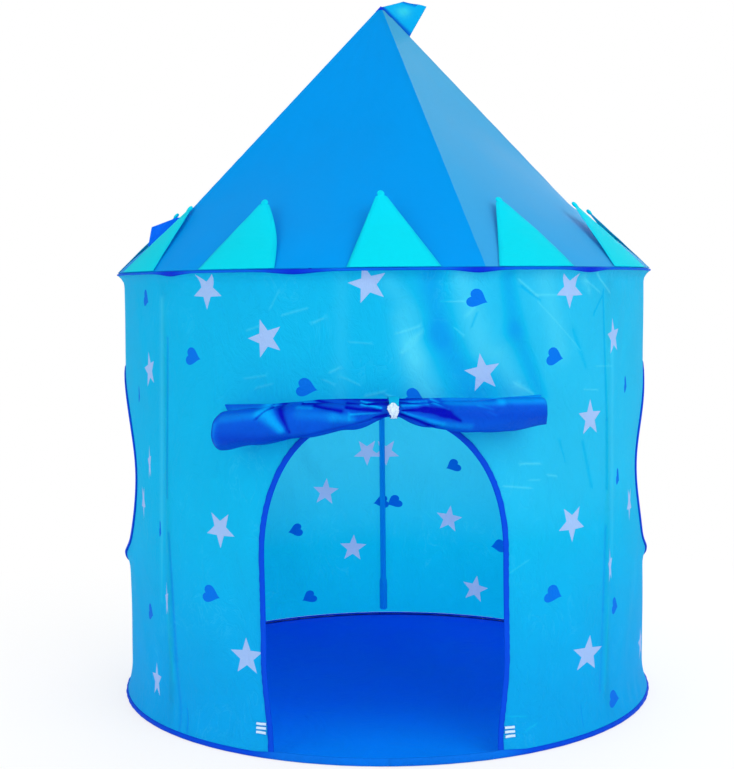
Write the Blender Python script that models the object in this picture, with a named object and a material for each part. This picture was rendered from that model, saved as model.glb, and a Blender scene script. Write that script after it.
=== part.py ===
"""Kids play tent: a round cloth room between two wire hoops, a pointed roof, a ring of crown points
and a door curtain that is rolled up and tied.

The origin is the middle of the ground sheet's underside. +Z is up, the door faces -Y, and +X is to the
right of someone who looks at the door. Azimuth 0 is the door, 90 the right side and 180 the back.
Lengths are in metres and angles in degrees.
"""

import math

import bmesh
import bpy
from mathutils import Matrix, Vector
from mathutils.geometry import delaunay_2d_cdt

# Overall sizes
HOOP_RADIUS = 0.524  # the middle of the wire in the base hoop and in the eave hoop
EAVE_HEIGHT = 0.827  # the middle of the eave hoop's wire
APEX_HEIGHT = 1.354
WALL_INSET = 0.0105
WALL_RADIUS = HOOP_RADIUS - WALL_INSET  # the wall between its two flared ends
CLOTH = 0.0015
GAP = 0.0003  # what touching pieces keep between them
HOOP_STEPS = 60
SHARP_ANGLE = 35.0  # edges sharper than this are shaded as edges
CLEAR_SHARE = 0.45  # how near inner points of a cloth come to its edge, as a share of their spacing
SEAM_AZIMUTHS = (-50.0, 50.0, 180.0)  # where the wall panels meet, with a pole behind each seam

# Hoops and hems
WIRE_RADIUS = 0.0015
HEM_CLOTH = 0.0011
HEM_HALF_DEPTH = WIRE_RADIUS + GAP + HEM_CLOTH
HEM_HALF_HEIGHT = 0.0045
EAVE_HEM_HALF_HEIGHT = 0.0030  # this hem is pulled flatter
HEM_MOUTH_ANGLE = 60.0  # the slit on the hem's inner side
HEM_ARC_STEPS = 4
WIRE_SIDES = 6

# Wall
WALL_BOTTOM = 2 * HEM_HALF_HEIGHT + GAP
WALL_TOP = EAVE_HEIGHT - EAVE_HEM_HALF_HEIGHT - GAP
WALL_SEAT_RADIUS = HOOP_RADIUS - CLOTH / 2
BASE_FLARE = 0.055
EAVE_FLARE = 0.018
FOLD_DEPTH = 0.0022
FOLD_PITCH = 0.26
FOLD_SLANT_SHARE = 0.8
WALL_ROWS = 11
FLARE_ROWS = 3

# Door
DOOR_MIDDLE = -0.0100  # it is sewn a little to the left of the front's middle
DOOR_HALF_WIDTH = 0.209
DOOR_SPRING_HEIGHT = 0.340
DOOR_RISE = 0.250
DOOR_ROUNDNESS = 2.2  # 2 is an ellipse, and more than 2 has fuller shoulders
DOOR_ARCH_STEPS = 24

# Windows
WINDOW_AZIMUTH = 90.0
WINDOW_HEIGHT = 0.452
WINDOW_RADIUS = 0.195
WINDOW_STEPS = 32

# Bindings round the door and the windows
BINDING_LAP = 0.008
BINDING_CLOTH = 0.0012
BINDING_ROOM = 0.00045

# Ground sheet
GROUND_RADIUS = HOOP_RADIUS - HEM_HALF_DEPTH + GAP

# Wall poles and what holds them
POLE_RADIUS = 0.0039
FERRULE_WALL = 0.0009
FERRULE_LENGTH = 0.070
FERRULE_HEIGHT = 0.142  # the middle of the ferrule
POLE_BOTTOM = 0.052
POLE_HEAD_DROP = 0.021  # under the eave hoop
POLE_TOP = EAVE_HEIGHT - POLE_HEAD_DROP
POLE_SIDES = 10
SLEEVE_BOTTOM = 0.092
SLEEVE_HEAD_DROP = 0.062
SLEEVE_TOP = EAVE_HEIGHT - SLEEVE_HEAD_DROP
SLEEVE_FLANGE = 0.0025
SLEEVE_CLOTH = 0.0011
SLEEVE_ARCH_STEPS = 6
SLEEVE_ROOM = 0.0006
POCKET_CLOTH = 0.0015
POCKET_DEPTH = 0.030
POCKET_SIDES = 12

# Roof
ROOF_BOTTOM = EAVE_HEIGHT + EAVE_HEM_HALF_HEIGHT + GAP
ROOF_SEAT_RADIUS = HOOP_RADIUS
RIDGE_AZIMUTHS = (-61.0, 18.0, 100.0, 199.5)  # the four seams from the apex to the eave
ROOF_ROW_SHARES = (0.03, 0.2, 0.4, 0.55, 0.7, 0.85, 1.0)
ROUND_FROM_SHARE = 0.4  # above this share of the slope the panels are flat
ROOF_COLUMN_ANGLE = 6.0
APEX_TAPE_REACH = 0.030
APEX_TAPE_NECK = 0.010

# Roof poles
ROOF_POLE_RADIUS = 0.0028
ROOF_POLE_SIDES = 8
ROOF_POLE_DROP_EAVE = 0.0064  # from the ridge to the pole's axis, square to the ridge
ROOF_POLE_DROP_APEX = 0.0082
ROOF_POLE_FOOT_RISE = 0.019  # over the eave hoop
ROOF_POLE_FOOT_HEIGHT = EAVE_HEIGHT + ROOF_POLE_FOOT_RISE
ROOF_POCKET_CLOTH = 0.0012
ROOF_POCKET_DEPTH = 0.026
HUB_ARM_LENGTH = 0.036
HUB_ARM_WALL = 0.0013
HUB_ARM_START = 0.005
HUB_BORE_START = 0.014  # from the poles' meeting point to the floor of each socket
HUB_BOSS_RADIUS = 0.0065
HUB_BOSS_DEPTH = 0.020
HUB_SIDES = 12

# Crown points
CROWN_COUNT = 12
CROWN_HALF_WIDTH = 0.0775
CROWN_LENGTH = 0.166
CROWN_LIFT = 1.3  # the angle between a crown point and the roof's ridges
FRONT_CROWN_LIFT = 6.1
CROWN_RADIUS = HOOP_RADIUS + GAP + CLOTH
CROWN_FOOT = ROOF_BOTTOM + CLOTH / 2
CROWN_COLUMNS = 4
CROWN_ROW_SHARES = (0.0, 0.25, 0.5, 0.75, 0.925, 0.965, 1.0)
CROWN_WIDTH_SHARES = (1.0, 0.76, 0.52, 0.27, 0.07, 0.075, 0.045)
CROWN_THICK_SHARES = (1.0, 1.0, 1.0, 1.0, 1.0, 2.8, 1.6)
# Sewing by eye: how far each point is turned from its even place, and how far its tip leans sideways
CROWN_TURNS = (1.2, -0.9, -1.3, 0.0, 0.0, 0.6, 0.0, -0.7, 0.0, 0.0, 0.0, 0.8)
CROWN_SKEWS = (-0.018, -0.006, -0.008, 0.0, 0.004, 0.0, -0.005, 0.0, 0.006, 0.0, 0.0, -0.009)

# Top flag and side tab
FLAG_RIDGE = 2  # it is sewn along this one of the ridges
FLAG_REACH = 0.092
FLAG_RISE = 0.010
FLAG_BASE_REACH = 0.058
FLAG_STEP = 0.020
FLAG_WAVE = 0.006
TAB_AZIMUTH = -80.0
TAB_LOW_RISE = 0.054  # over the eave hoop
TAB_HIGH_RISE = 0.114
TAB_LOW = EAVE_HEIGHT + TAB_LOW_RISE
TAB_HIGH = EAVE_HEIGHT + TAB_HIGH_RISE
TAB_CORNER_RISE = 0.042
TAB_CORNER_REACH = 0.001
TAB_CREST_REACH = 0.034
TAB_STEP = 0.018

# Door tapes
TAPE_WIDTH = 0.022
TAPE_HEIGHT = 0.022
TAPE_BOTTOM = 0.034
TAPE_CLOTH = 0.0010

# Door curtain, rolled up
ROLL_RADIUS = 0.0375
ROLL_LEFT = 0.275
ROLL_RIGHT = 0.252
ROLL_TOP = 0.617
ROLL_STAND_OFF = 0.0385  # from the wall to the roll's axis, at its middle
ROLL_REACH = WALL_RADIUS + ROLL_STAND_OFF
ROLL_STRAIGHTENING = 0.1865  # the roll bends less than the wall by this much more radius
ROLL_BEND_RADIUS = WALL_RADIUS + ROLL_STRAIGHTENING
ROLL_TURNS = 2.2
ROLL_CORE_SHARE = 0.3
ROLL_CLOTH_SHARE = 0.075
ROLL_START_ANGLE = 140.0
ROLL_STEPS_PER_TURN = 10
ROLL_LOBES = 5
ROLL_LOBE_SHARE = 0.10
ROLL_STATIONS = 20
TIE_PLACE = 0.008
TIE_HALF_WIDTH = 0.006
TIE_ROOM = 0.0014
TIE_CORD = 0.0030
TIE_KNOT = 0.0060
TIE_STEPS = 20
KNOT_ANGLE = 50.0
TIE_SECTION_SHARES = ((-1.0, 0.0), (1.0, 0.0), (1.0, 0.55), (0.55, 1.0), (-0.55, 1.0), (-1.0, 0.55))
CURTAIN_SEAM = 0.615
# Shares of the roll's half length, of its radius and of how far its top dips under ROLL_TOP
ROLL_PROFILE_SHARES = (
    (-1.00, 1.00, 0.40),
    (-0.80, 0.95, 0.24),
    (-0.50, 0.87, 0.00),
    (-0.22, 0.62, 0.10),
    (0.028, 0.38, 0.01),
    (0.24, 0.58, 0.12),
    (0.50, 0.76, 0.03),
    (0.80, 0.80, -0.05),
    (1.00, 0.66, 0.00),
)

COLOURS = {
    "steel_wire": ((0.62, 0.63, 0.65), 0.35, 1.0),
    "fibreglass": ((0.86, 0.87, 0.88), 0.45, 0.0),
    "ferrule_steel": ((0.70, 0.71, 0.73), 0.30, 1.0),
    "hub_plastic": ((0.05, 0.05, 0.06), 0.45, 0.0),
    "wall_cloth": ((0.01, 0.45, 0.80), 0.60, 0.0),
    "roof_cloth": ((0.00, 0.30, 0.82), 0.60, 0.0),
    "crown_cloth": ((0.00, 0.78, 0.90), 0.60, 0.0),
    "flag_cloth": ((0.00, 0.43, 0.87), 0.55, 0.0),
    "floor_cloth": ((0.00, 0.09, 0.70), 0.50, 0.0),
    "binding_tape": ((0.00, 0.08, 0.62), 0.60, 0.0),
    "curtain_cloth": ((0.00, 0.09, 0.72), 0.40, 0.0),
    "white_tape": ((0.90, 0.92, 0.95), 0.60, 0.0),
    "tie_cord": ((0.85, 0.90, 0.95), 0.70, 0.0),
}


# Helpers

def look(name):
    """The Principled material of that name, made on first use."""
    found = bpy.data.materials.get(name)
    if found:
        return found
    colour, roughness, metallic = COLOURS[name]
    made = bpy.data.materials.new(name)
    made.use_nodes = True
    shader = made.node_tree.nodes["Principled BSDF"]
    shader.inputs["Base Color"].default_value = (*colour, 1)
    shader.inputs["Roughness"].default_value = roughness
    shader.inputs["Metallic"].default_value = metallic
    made.diffuse_color = (*colour, 1)
    return made


def add(name, vertices, faces, material, origin=None):
    """A closed solid as an object, with its faces pointing out and its origin on origin."""
    origin = origin or Vector()
    mesh = bpy.data.meshes.new(name)
    mesh.from_pydata([tuple(v - origin) for v in vertices], [], faces)
    solid = bmesh.new()
    solid.from_mesh(mesh)
    bmesh.ops.triangulate(solid, faces=solid.faces[:])
    bmesh.ops.recalc_face_normals(solid, faces=solid.faces[:])
    solid.to_mesh(mesh)
    solid.free()
    mesh.shade_smooth()
    mesh.set_sharp_from_angle(angle=math.radians(SHARP_ANGLE))
    mesh.materials.append(look(material))
    made = bpy.data.objects.new(name, mesh)
    made.location = origin
    bpy.context.scene.collection.objects.link(made)
    return made


def at(radius, azimuth, height):
    """The point that far from the tent's axis, on that azimuth."""
    a = math.radians(azimuth)
    return Vector((radius * math.sin(a), -radius * math.cos(a), height))


def tangent(azimuth):
    """The level direction in which the azimuth grows."""
    a = math.radians(azimuth)
    return Vector((math.cos(a), math.sin(a), 0))


def ease(share):
    """0 to 1 with a flat start and end."""
    share = min(1.0, max(0.0, share))
    return share * share * (3 - 2 * share)


def divided(start, end, step):
    """Points from start up to end, without end, no further apart than step."""
    count = max(1, math.ceil((end - start).length / step))
    return [start.lerp(end, i / count) for i in range(count)]


def sweep(name, rings, material, closed=False, origin=None):
    """A solid through rings of points, closed on itself or with a flat cap at each end."""
    width = len(rings[0])
    vertices = [point for ring in rings for point in ring]
    faces = []
    for i in range(len(rings) if closed else len(rings) - 1):
        here = i * width
        there = (i + 1) % len(rings) * width
        for k in range(width):
            after = (k + 1) % width
            faces.append((here + k, here + after, there + after, there + k))
    if not closed:
        faces.append(tuple(range(width)))
        faces.append(tuple(len(vertices) - width + k for k in range(width)))
    return add(name, vertices, faces, material, origin)


def hoop(name, section, height, material):
    """A section, as (outward, up) pairs, carried round the tent's axis on the hoop's radius."""
    rings = []
    for i in range(HOOP_STEPS):
        azimuth = i * 360 / HOOP_STEPS
        rings.append([at(HOOP_RADIUS + out, azimuth, height + up) for out, up in section])
    return sweep(name, rings, material, closed=True)


def ellipse(half_width, half_height, start, end, steps):
    """Points on an ellipse from one angle to another, both included."""
    turns = [math.radians(start + (end - start) * i / steps) for i in range(steps + 1)]
    return [(half_width * math.cos(t), half_height * math.sin(t)) for t in turns]


def lathe(name, profile, sides, place, material):
    """A profile of (radius, height) pairs turned about its own axis, then set down by place.

    A radius of zero is one point on the axis. A profile off the axis is closed on itself, as a tube is.
    """
    vertices = []
    rows = []
    for radius, height in profile:
        count = sides if radius else 1
        rows.append([len(vertices) + k for k in range(count)])
        for k in range(count):
            t = 2 * math.pi * k / sides
            vertices.append(place @ Vector((radius * math.cos(t), radius * math.sin(t), height)))
    pairs = list(zip(rows, rows[1:]))
    if profile[0][0] and profile[-1][0]:
        pairs.append((rows[-1], rows[0]))
    faces = []
    for low, high in pairs:
        for k in range(sides):
            after = (k + 1) % sides
            corners = [low[k % len(low)], low[after % len(low)], high[after % len(high)], high[k % len(high)]]
            kept = list(dict.fromkeys(corners))
            if len(kept) > 2:
                faces.append(tuple(kept))
    return add(name, vertices, faces, material)


def set_down(point, direction):
    """A matrix that puts the local origin on point and the local Z along direction."""
    turn = direction.normalized().to_track_quat("Z", "Y").to_matrix().to_4x4()
    return Matrix.Translation(point) @ turn


def rod(name, start, end, radius, sides, material):
    """A round bar between two points."""
    length = (end - start).length
    profile = ((0, 0), (radius, 0), (radius, length), (0, length))
    return lathe(name, profile, sides, set_down(start, end - start), material)


def cup(name, mouth, direction, bore, wall, depth, material):
    """A pocket with a floor: direction points out of its mouth."""
    profile = (
        (0, -depth - wall),
        (bore + wall, -depth - wall),
        (bore + wall, 0),
        (bore, 0),
        (bore, -depth),
        (0, -depth),
    )
    return lathe(name, profile, POCKET_SIDES, set_down(mouth, direction), material)


def inside(point, loop):
    """Whether a flat point lies in a loop of flat points."""
    found = False
    for a, b in zip(loop, loop[1:] + loop[:1]):
        if (a.y > point.y) != (b.y > point.y):
            if point.x < a.x + (point.y - a.y) / (b.y - a.y) * (b.x - a.x):
                found = not found
    return found


def cloth_panel(name, outline, holes, lines, grid, clear, place, thickness, material, origin=None):
    """A cloth panel as a thin closed solid.

    The outline, the holes, the lines drawn on it and the grid of inner points are flat points (u, v).
    Grid points closer than clear to any of the others are left out. place(u, v, out) says where a
    point is on the tent, with out as the way off the middle of the cloth.
    """
    flat = []
    edges = []
    for loop in [outline] + holes:
        first = len(flat)
        flat += loop
        edges += [(first + i, first + (i + 1) % len(loop)) for i in range(len(loop))]
    for line in lines:
        first = len(flat)
        flat += line
        edges += [(first + i, first + i + 1) for i in range(len(line) - 1)]
    fixed = list(flat)
    for p in grid:
        if inside(p, outline) and not any(inside(p, hole) for hole in holes):
            if min((p - q).length for q in fixed) > clear:
                flat.append(p)
    points, _, triangles, *_ = delaunay_2d_cdt(flat, edges, [], 0, CLEAR_SHARE * thickness, False)
    kept = []
    for t in triangles:
        middle = sum((points[i] for i in t), Vector((0, 0))) / len(t)
        if inside(middle, outline) and not any(inside(middle, hole) for hole in holes):
            kept.append(tuple(t))
    used = sorted({i for t in kept for i in t})
    number = {i: k for k, i in enumerate(used)}
    kept = [tuple(number[i] for i in t) for t in kept]
    count = len(used)
    vertices = [place(*points[i], thickness / 2) for i in used]
    vertices += [place(*points[i], -thickness / 2) for i in used]
    sides = {}
    for t in kept:
        for a, b in zip(t, t[1:] + t[:1]):
            sides.setdefault(frozenset((a, b)), []).append((a, b))
    faces = kept + [tuple(i + count for i in reversed(t)) for t in kept]
    for uses in sides.values():
        if len(uses) == 1:
            a, b = uses[0]
            faces.append((b, a, a + count, b + count))
    return add(name, vertices, faces, material, origin)


def set_back(path, closed, distance):
    """A path moved to its left by a distance."""
    moved = []
    for i, here in enumerate(path):
        before = path[i - 1] if closed or i else here
        after = path[(i + 1) % len(path)] if closed or i + 1 < len(path) else here
        along = (after - before).normalized()
        moved.append(here + Vector((-along.y, along.x)) * distance)
    return moved


def edge_binding(name, path, closed, place, material):
    """A folded tape that wraps a panel's edge: the path runs along the edge with the opening on its right."""
    half = CLOTH / 2 + BINDING_ROOM
    outer = half + BINDING_CLOTH
    tip = GAP + BINDING_CLOTH
    section = (
        (-BINDING_LAP, outer),
        (tip, outer),
        (tip, -outer),
        (-BINDING_LAP, -outer),
        (-BINDING_LAP, -half),
        (GAP, -half),
        (GAP, half),
        (-BINDING_LAP, half),
    )
    lines = [set_back(path, closed, -p) for p, q in section]
    rings = []
    for points in zip(*lines):
        rings.append([place(*point, q) for point, (p, q) in zip(points, section)])
    return sweep(name, rings, material, closed)


# Hoops, hems and ground sheet

def add_hoops():
    wire = ellipse(WIRE_RADIUS, WIRE_RADIUS, 0, 360 - 360 / WIRE_SIDES, WIRE_SIDES - 1)
    mouth = 180 - HEM_MOUTH_ANGLE / 2
    hems = (("base", HEM_HALF_HEIGHT, HEM_HALF_HEIGHT), ("eave", EAVE_HEIGHT, EAVE_HEM_HALF_HEIGHT))
    for name, height, half in hems:
        skin = ellipse(HEM_HALF_DEPTH, half, -mouth, mouth, HEM_ARC_STEPS)
        lining = ellipse(HEM_HALF_DEPTH - HEM_CLOTH, half - HEM_CLOTH, mouth, -mouth, HEM_ARC_STEPS)
        hoop(name + "_hoop", wire, height, "steel_wire")
        hoop(name + "_hem", skin + lining, height, "binding_tape")


def add_ground_sheet():
    rings = []
    for height in (0, CLOTH):
        rings.append([at(GROUND_RADIUS, i * 360 / HOOP_STEPS, height) for i in range(HOOP_STEPS)])
    sweep("ground_sheet", rings, "floor_cloth")


# Wall

def seam_share(azimuth):
    """How far an azimuth is across its wall panel, from 0 at one seam to 1 at the next."""
    seams = sorted(SEAM_AZIMUTHS)
    seams = [seams[-1] - 360] + seams
    for a, b in zip(seams, seams[1:]):
        if a <= azimuth <= b:
            return (azimuth - a) / (b - a)
    return 0.0


def wall_radius(azimuth, height):
    """The middle of the wall's cloth: flared to the hems at both ends, with broad slanting folds."""
    up = max(0.0, (height - WALL_TOP + EAVE_FLARE) / EAVE_FLARE)
    down = max(0.0, (WALL_BOTTOM + BASE_FLARE - height) / BASE_FLARE)
    flare = (WALL_SEAT_RADIUS - WALL_RADIUS) * (up * up + down * down)
    rise = math.sin(math.pi * min(1.0, max(0.0, (height - WALL_BOTTOM) / (WALL_TOP - WALL_BOTTOM))))
    across = math.sin(math.pi * seam_share(azimuth))
    arc = math.radians(azimuth) * WALL_RADIUS
    turns = (arc + FOLD_SLANT_SHARE * height) / FOLD_PITCH
    return WALL_RADIUS + flare + FOLD_DEPTH * rise * across * math.sin(2 * math.pi * turns)


def wall_point(arc, height, out=0.0):
    """A place on the wall: arc is measured along the wall from the middle of the door."""
    azimuth = math.degrees(arc / WALL_RADIUS)
    return at(wall_radius(azimuth, height) + out, azimuth, height)


def arc_at(azimuth):
    return math.radians(azimuth) * WALL_RADIUS


def wall_heights():
    """The heights of the wall's rows, closer together in the two flares."""
    low = WALL_BOTTOM + BASE_FLARE
    high = WALL_TOP - EAVE_FLARE
    heights = [WALL_BOTTOM + BASE_FLARE * i / FLARE_ROWS for i in range(FLARE_ROWS)]
    heights += [low + (high - low) * i / WALL_ROWS for i in range(WALL_ROWS)]
    return heights + [high + EAVE_FLARE * i / FLARE_ROWS for i in range(FLARE_ROWS + 1)]


def door_edge():
    """The door's edge from its left foot over the arch to its right foot."""
    heights = [height for height in wall_heights() if height < DOOR_SPRING_HEIGHT]
    left = [Vector((DOOR_MIDDLE - DOOR_HALF_WIDTH, height)) for height in heights]
    right = [Vector((DOOR_MIDDLE + DOOR_HALF_WIDTH, height)) for height in reversed(heights)]
    arch = []
    for x, y in ellipse(1, 1, 180, 0, DOOR_ARCH_STEPS):
        across = math.copysign(abs(x) ** (2 / DOOR_ROUNDNESS), x)
        rise = abs(y) ** (2 / DOOR_ROUNDNESS)
        arch.append(Vector((DOOR_MIDDLE + DOOR_HALF_WIDTH * across, DOOR_SPRING_HEIGHT + DOOR_RISE * rise)))
    return left + arch + right


def window_edge(azimuth):
    """The round window's edge, clockwise."""
    turns = [-2 * math.pi * i / WINDOW_STEPS for i in range(WINDOW_STEPS)]
    middle = arc_at(azimuth)
    return [
        Vector((middle + WINDOW_RADIUS * math.cos(t), WINDOW_HEIGHT + WINDOW_RADIUS * math.sin(t))) for t in turns
    ]


def wall_outline(start, end, notch=()):
    """The outline of a wall panel between two azimuths, with an optional notch in its foot."""
    step = arc_at(360 / HOOP_STEPS)
    low_left = Vector((arc_at(start) + GAP / 2, WALL_BOTTOM))
    low_right = Vector((arc_at(end) - GAP / 2, WALL_BOTTOM))
    high_left = Vector((low_left.x, WALL_TOP))
    high_right = Vector((low_right.x, WALL_TOP))
    heights = wall_heights()[1:-1]
    if notch:
        foot = divided(low_left, notch[0], step) + list(notch[:-1]) + divided(notch[-1], low_right, step)
    else:
        foot = divided(low_left, low_right, step)
    right = [low_right] + [Vector((low_right.x, height)) for height in heights]
    left = [Vector((low_left.x, height)) for height in reversed(heights)]
    return foot + right + divided(high_right, high_left, step) + [high_left] + left


def wall_grid(start, end):
    columns = round((end - start) * HOOP_STEPS / 360)
    points = []
    for height in wall_heights()[1:-1]:
        for i in range(1, columns):
            points.append(Vector((arc_at(start + (end - start) * i / columns), height)))
    return points


def add_walls():
    left, right, back = SEAM_AZIMUTHS
    door = door_edge()
    panels = (
        ("front_wall", left, right, door, []),
        ("right_wall", right, back, (), [window_edge(WINDOW_AZIMUTH)]),
        ("left_wall", back - 360, left, (), [window_edge(-WINDOW_AZIMUTH)]),
    )
    lap = BINDING_LAP + GAP
    clear = BASE_FLARE / FLARE_ROWS * CLEAR_SHARE
    for name, start, end, notch, holes in panels:
        outline = wall_outline(start, end, notch)
        lines = [set_back(hole, True, lap) for hole in holes]
        lines = [line + line[:1] for line in lines]
        if notch:
            lines = [set_back(notch, False, lap)[1:-1]]
        grid = wall_grid(start, end)
        cloth_panel(name, outline, holes, lines, grid, clear, wall_point, CLOTH, "wall_cloth")
    edge_binding("door_binding", door, False, wall_point, "binding_tape")
    for name, azimuth in (("right_window_binding", WINDOW_AZIMUTH), ("left_window_binding", -WINDOW_AZIMUTH)):
        edge_binding(name, window_edge(azimuth), True, wall_point, "binding_tape")


def add_door_tapes():
    """A short stitched tape on each side of the door's foot."""
    inner = DOOR_HALF_WIDTH + BINDING_LAP + GAP
    lift = CLOTH / 2 + 3 * GAP
    for name, side in (("door_tape_left", -1), ("door_tape_right", 1)):
        rings = []
        for reach in (0, TAPE_WIDTH / 2, TAPE_WIDTH):
            arc = DOOR_MIDDLE + side * (inner + reach)
            rings.append(
                [
                    wall_point(arc, TAPE_BOTTOM, lift),
                    wall_point(arc, TAPE_BOTTOM, lift + TAPE_CLOTH),
                    wall_point(arc, TAPE_BOTTOM + TAPE_HEIGHT, lift + TAPE_CLOTH),
                    wall_point(arc, TAPE_BOTTOM + TAPE_HEIGHT, lift),
                ]
            )
        sweep(name, rings, "white_tape")


# Wall poles

def add_wall_poles():
    """A pole behind each wall seam, in a sleeve sewn on the wall, with a pocket at its foot and one at its head."""
    skin = WALL_RADIUS * math.cos(math.pi / HOOP_STEPS) - CLOTH / 2 - GAP
    ferrule_radius = POLE_RADIUS + GAP + FERRULE_WALL
    pocket_bore = POLE_RADIUS + GAP
    pole_reach = skin - max(ferrule_radius, pocket_bore + POCKET_CLOTH)
    axis = skin - pole_reach
    bore = ferrule_radius + SLEEVE_ROOM
    crest = bore + SLEEVE_CLOTH
    edge = crest + SLEEVE_FLANGE
    section = [(-edge, 0), (-edge, SLEEVE_CLOTH), (-crest, SLEEVE_CLOTH)]
    section += [(s, axis + q) for s, q in ellipse(crest, crest, 180, 0, SLEEVE_ARCH_STEPS)]
    section += [(crest, SLEEVE_CLOTH), (edge, SLEEVE_CLOTH), (edge, 0), (bore, 0)]
    section += [(s, axis + q) for s, q in ellipse(bore, bore, 0, 180, SLEEVE_ARCH_STEPS)]
    section += [(-bore, 0)]
    up = Vector((0, 0, 1))
    for name, azimuth in zip(("left", "right", "rear"), SEAM_AZIMUTHS):
        foot = at(pole_reach, azimuth, POLE_BOTTOM)
        head = at(pole_reach, azimuth, POLE_TOP)
        rod(name + "_wall_pole", foot, head, POLE_RADIUS, POLE_SIDES, "fibreglass")
        low = FERRULE_HEIGHT - FERRULE_LENGTH / 2
        high = FERRULE_HEIGHT + FERRULE_LENGTH / 2
        inner = POLE_RADIUS + GAP
        tube = ((inner, low), (ferrule_radius, low), (ferrule_radius, high), (inner, high))
        lathe(name + "_pole_ferrule", tube, POLE_SIDES, set_down(at(pole_reach, azimuth, 0), up), "ferrule_steel")
        mouth = at(pole_reach, azimuth, POLE_BOTTOM - GAP + POCKET_DEPTH)
        cup(name + "_base_pocket", mouth, up, pocket_bore, POCKET_CLOTH, POCKET_DEPTH, "binding_tape")
        mouth = at(pole_reach, azimuth, POLE_TOP + GAP - POCKET_DEPTH)
        cup(name + "_eave_pocket", mouth, -up, pocket_bore, POCKET_CLOTH, POCKET_DEPTH, "binding_tape")
        side = tangent(azimuth)
        rings = []
        for height in (SLEEVE_BOTTOM, SLEEVE_TOP):
            ring = []
            for s, q in section:
                reach = math.sqrt(skin * skin - s * s) - q
                ring.append(at(reach, azimuth, height) + side * s)
            rings.append(ring)
        sweep(name + "_pole_sleeve", rings, "roof_cloth")


# Roof

def ridge_pairs():
    ridges = list(RIDGE_AZIMUTHS)
    return list(zip(ridges, ridges[1:] + [ridges[0] + 360]))


def roof_point(azimuth, share, out=0.0):
    """A place on the roof's outer face: share 0 is the apex and 1 the eave, and out is level.

    The panels are flat between the ridges, and bend out to the round hoop towards the eave.
    """
    turned = (azimuth - RIDGE_AZIMUTHS[0]) % 360 + RIDGE_AZIMUTHS[0]
    start, end = next((a, b) for a, b in ridge_pairs() if a <= turned <= b)
    chord = math.cos(math.radians(end - start) / 2) / math.cos(math.radians(turned - (start + end) / 2))
    rounding = ease((share - ROUND_FROM_SHARE) / (1 - ROUND_FROM_SHARE))
    radius = share * ROOF_SEAT_RADIUS * (chord + (1 - chord) * rounding)
    return at(radius + out, azimuth, APEX_HEIGHT - share * (APEX_HEIGHT - ROOF_BOTTOM))


def roof_slope():
    """The length of a ridge, and its direction as (outward, up)."""
    drop = APEX_HEIGHT - ROOF_BOTTOM
    length = math.hypot(ROOF_SEAT_RADIUS, drop)
    return length, ROOF_SEAT_RADIUS / length, -drop / length


def add_roof_panels():
    _, outward, down = roof_slope()
    thick = CLOTH / -down
    names = ("roof_front", "roof_right", "roof_rear", "roof_left")
    for name, (start, end) in zip(names, ridge_pairs()):
        columns = round((end - start) / ROOF_COLUMN_ANGLE)
        vertices = []
        for out in (0.0, -thick):
            for share in ROOF_ROW_SHARES:
                trim = math.degrees(GAP / 2 / (share * ROOF_SEAT_RADIUS))
                for i in range(columns + 1):
                    azimuth = start + trim + (end - start - 2 * trim) * i / columns
                    vertices.append(roof_point(azimuth, share, out))
        width = columns + 1
        layer = width * len(ROOF_ROW_SHARES)
        faces = []
        for j in range(len(ROOF_ROW_SHARES) - 1):
            for i in range(columns):
                a = j * width + i
                faces.append((a, a + 1, a + 1 + width, a + width))
                faces.append((layer + a + width, layer + a + 1 + width, layer + a + 1, layer + a))
        last = layer - width
        for i in range(columns):
            faces.append((i + 1, i, layer + i, layer + i + 1))
            faces.append((last + i, last + i + 1, layer + last + i + 1, layer + last + i))
        for j in range(len(ROOF_ROW_SHARES) - 1):
            a = j * width
            b = a + width - 1
            faces.append((a, a + width, layer + a + width, layer + a))
            faces.append((b + width, b, layer + b, layer + b + width))
        add(name, vertices, faces, "roof_cloth")


def add_apex_tape():
    """A star of tape over the apex, with a leg down each ridge."""
    _, outward, down = roof_slope()
    lift = (GAP + BINDING_CLOTH) / outward
    under = GAP / outward
    turns = []
    for start, end in ridge_pairs():
        turns += [(start, APEX_TAPE_REACH), ((start + end) / 2, APEX_TAPE_NECK)]
    drop = APEX_HEIGHT - ROOF_BOTTOM
    vertices = [Vector((0, 0, APEX_HEIGHT + lift)), Vector((0, 0, APEX_HEIGHT + under))]
    for rise in (lift, under):
        for azimuth, reach in turns:
            point = roof_point(azimuth, reach * outward / ROOF_SEAT_RADIUS)
            vertices.append(point + Vector((0, 0, rise)))
    count = len(turns)
    faces = []
    for k in range(count):
        a = 2 + k
        b = 2 + (k + 1) % count
        faces.append((0, a, b))
        faces.append((1, b + count, a + count))
        faces.append((a, a + count, b + count, b))
    add("apex_tape", vertices, faces, "binding_tape")


def roof_pole_line(azimuth):
    """The foot of a roof pole's axis, and where that axis meets the tent's axis."""
    _, outward, down = roof_slope()
    steep = down / outward
    low = ROOF_POLE_DROP_EAVE / outward
    high = ROOF_POLE_DROP_APEX / outward
    foot_reach = (ROOF_POLE_FOOT_HEIGHT - APEX_HEIGHT + low) / steep
    return at(foot_reach, azimuth, ROOF_POLE_FOOT_HEIGHT), Vector((0, 0, APEX_HEIGHT - high))


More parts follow.
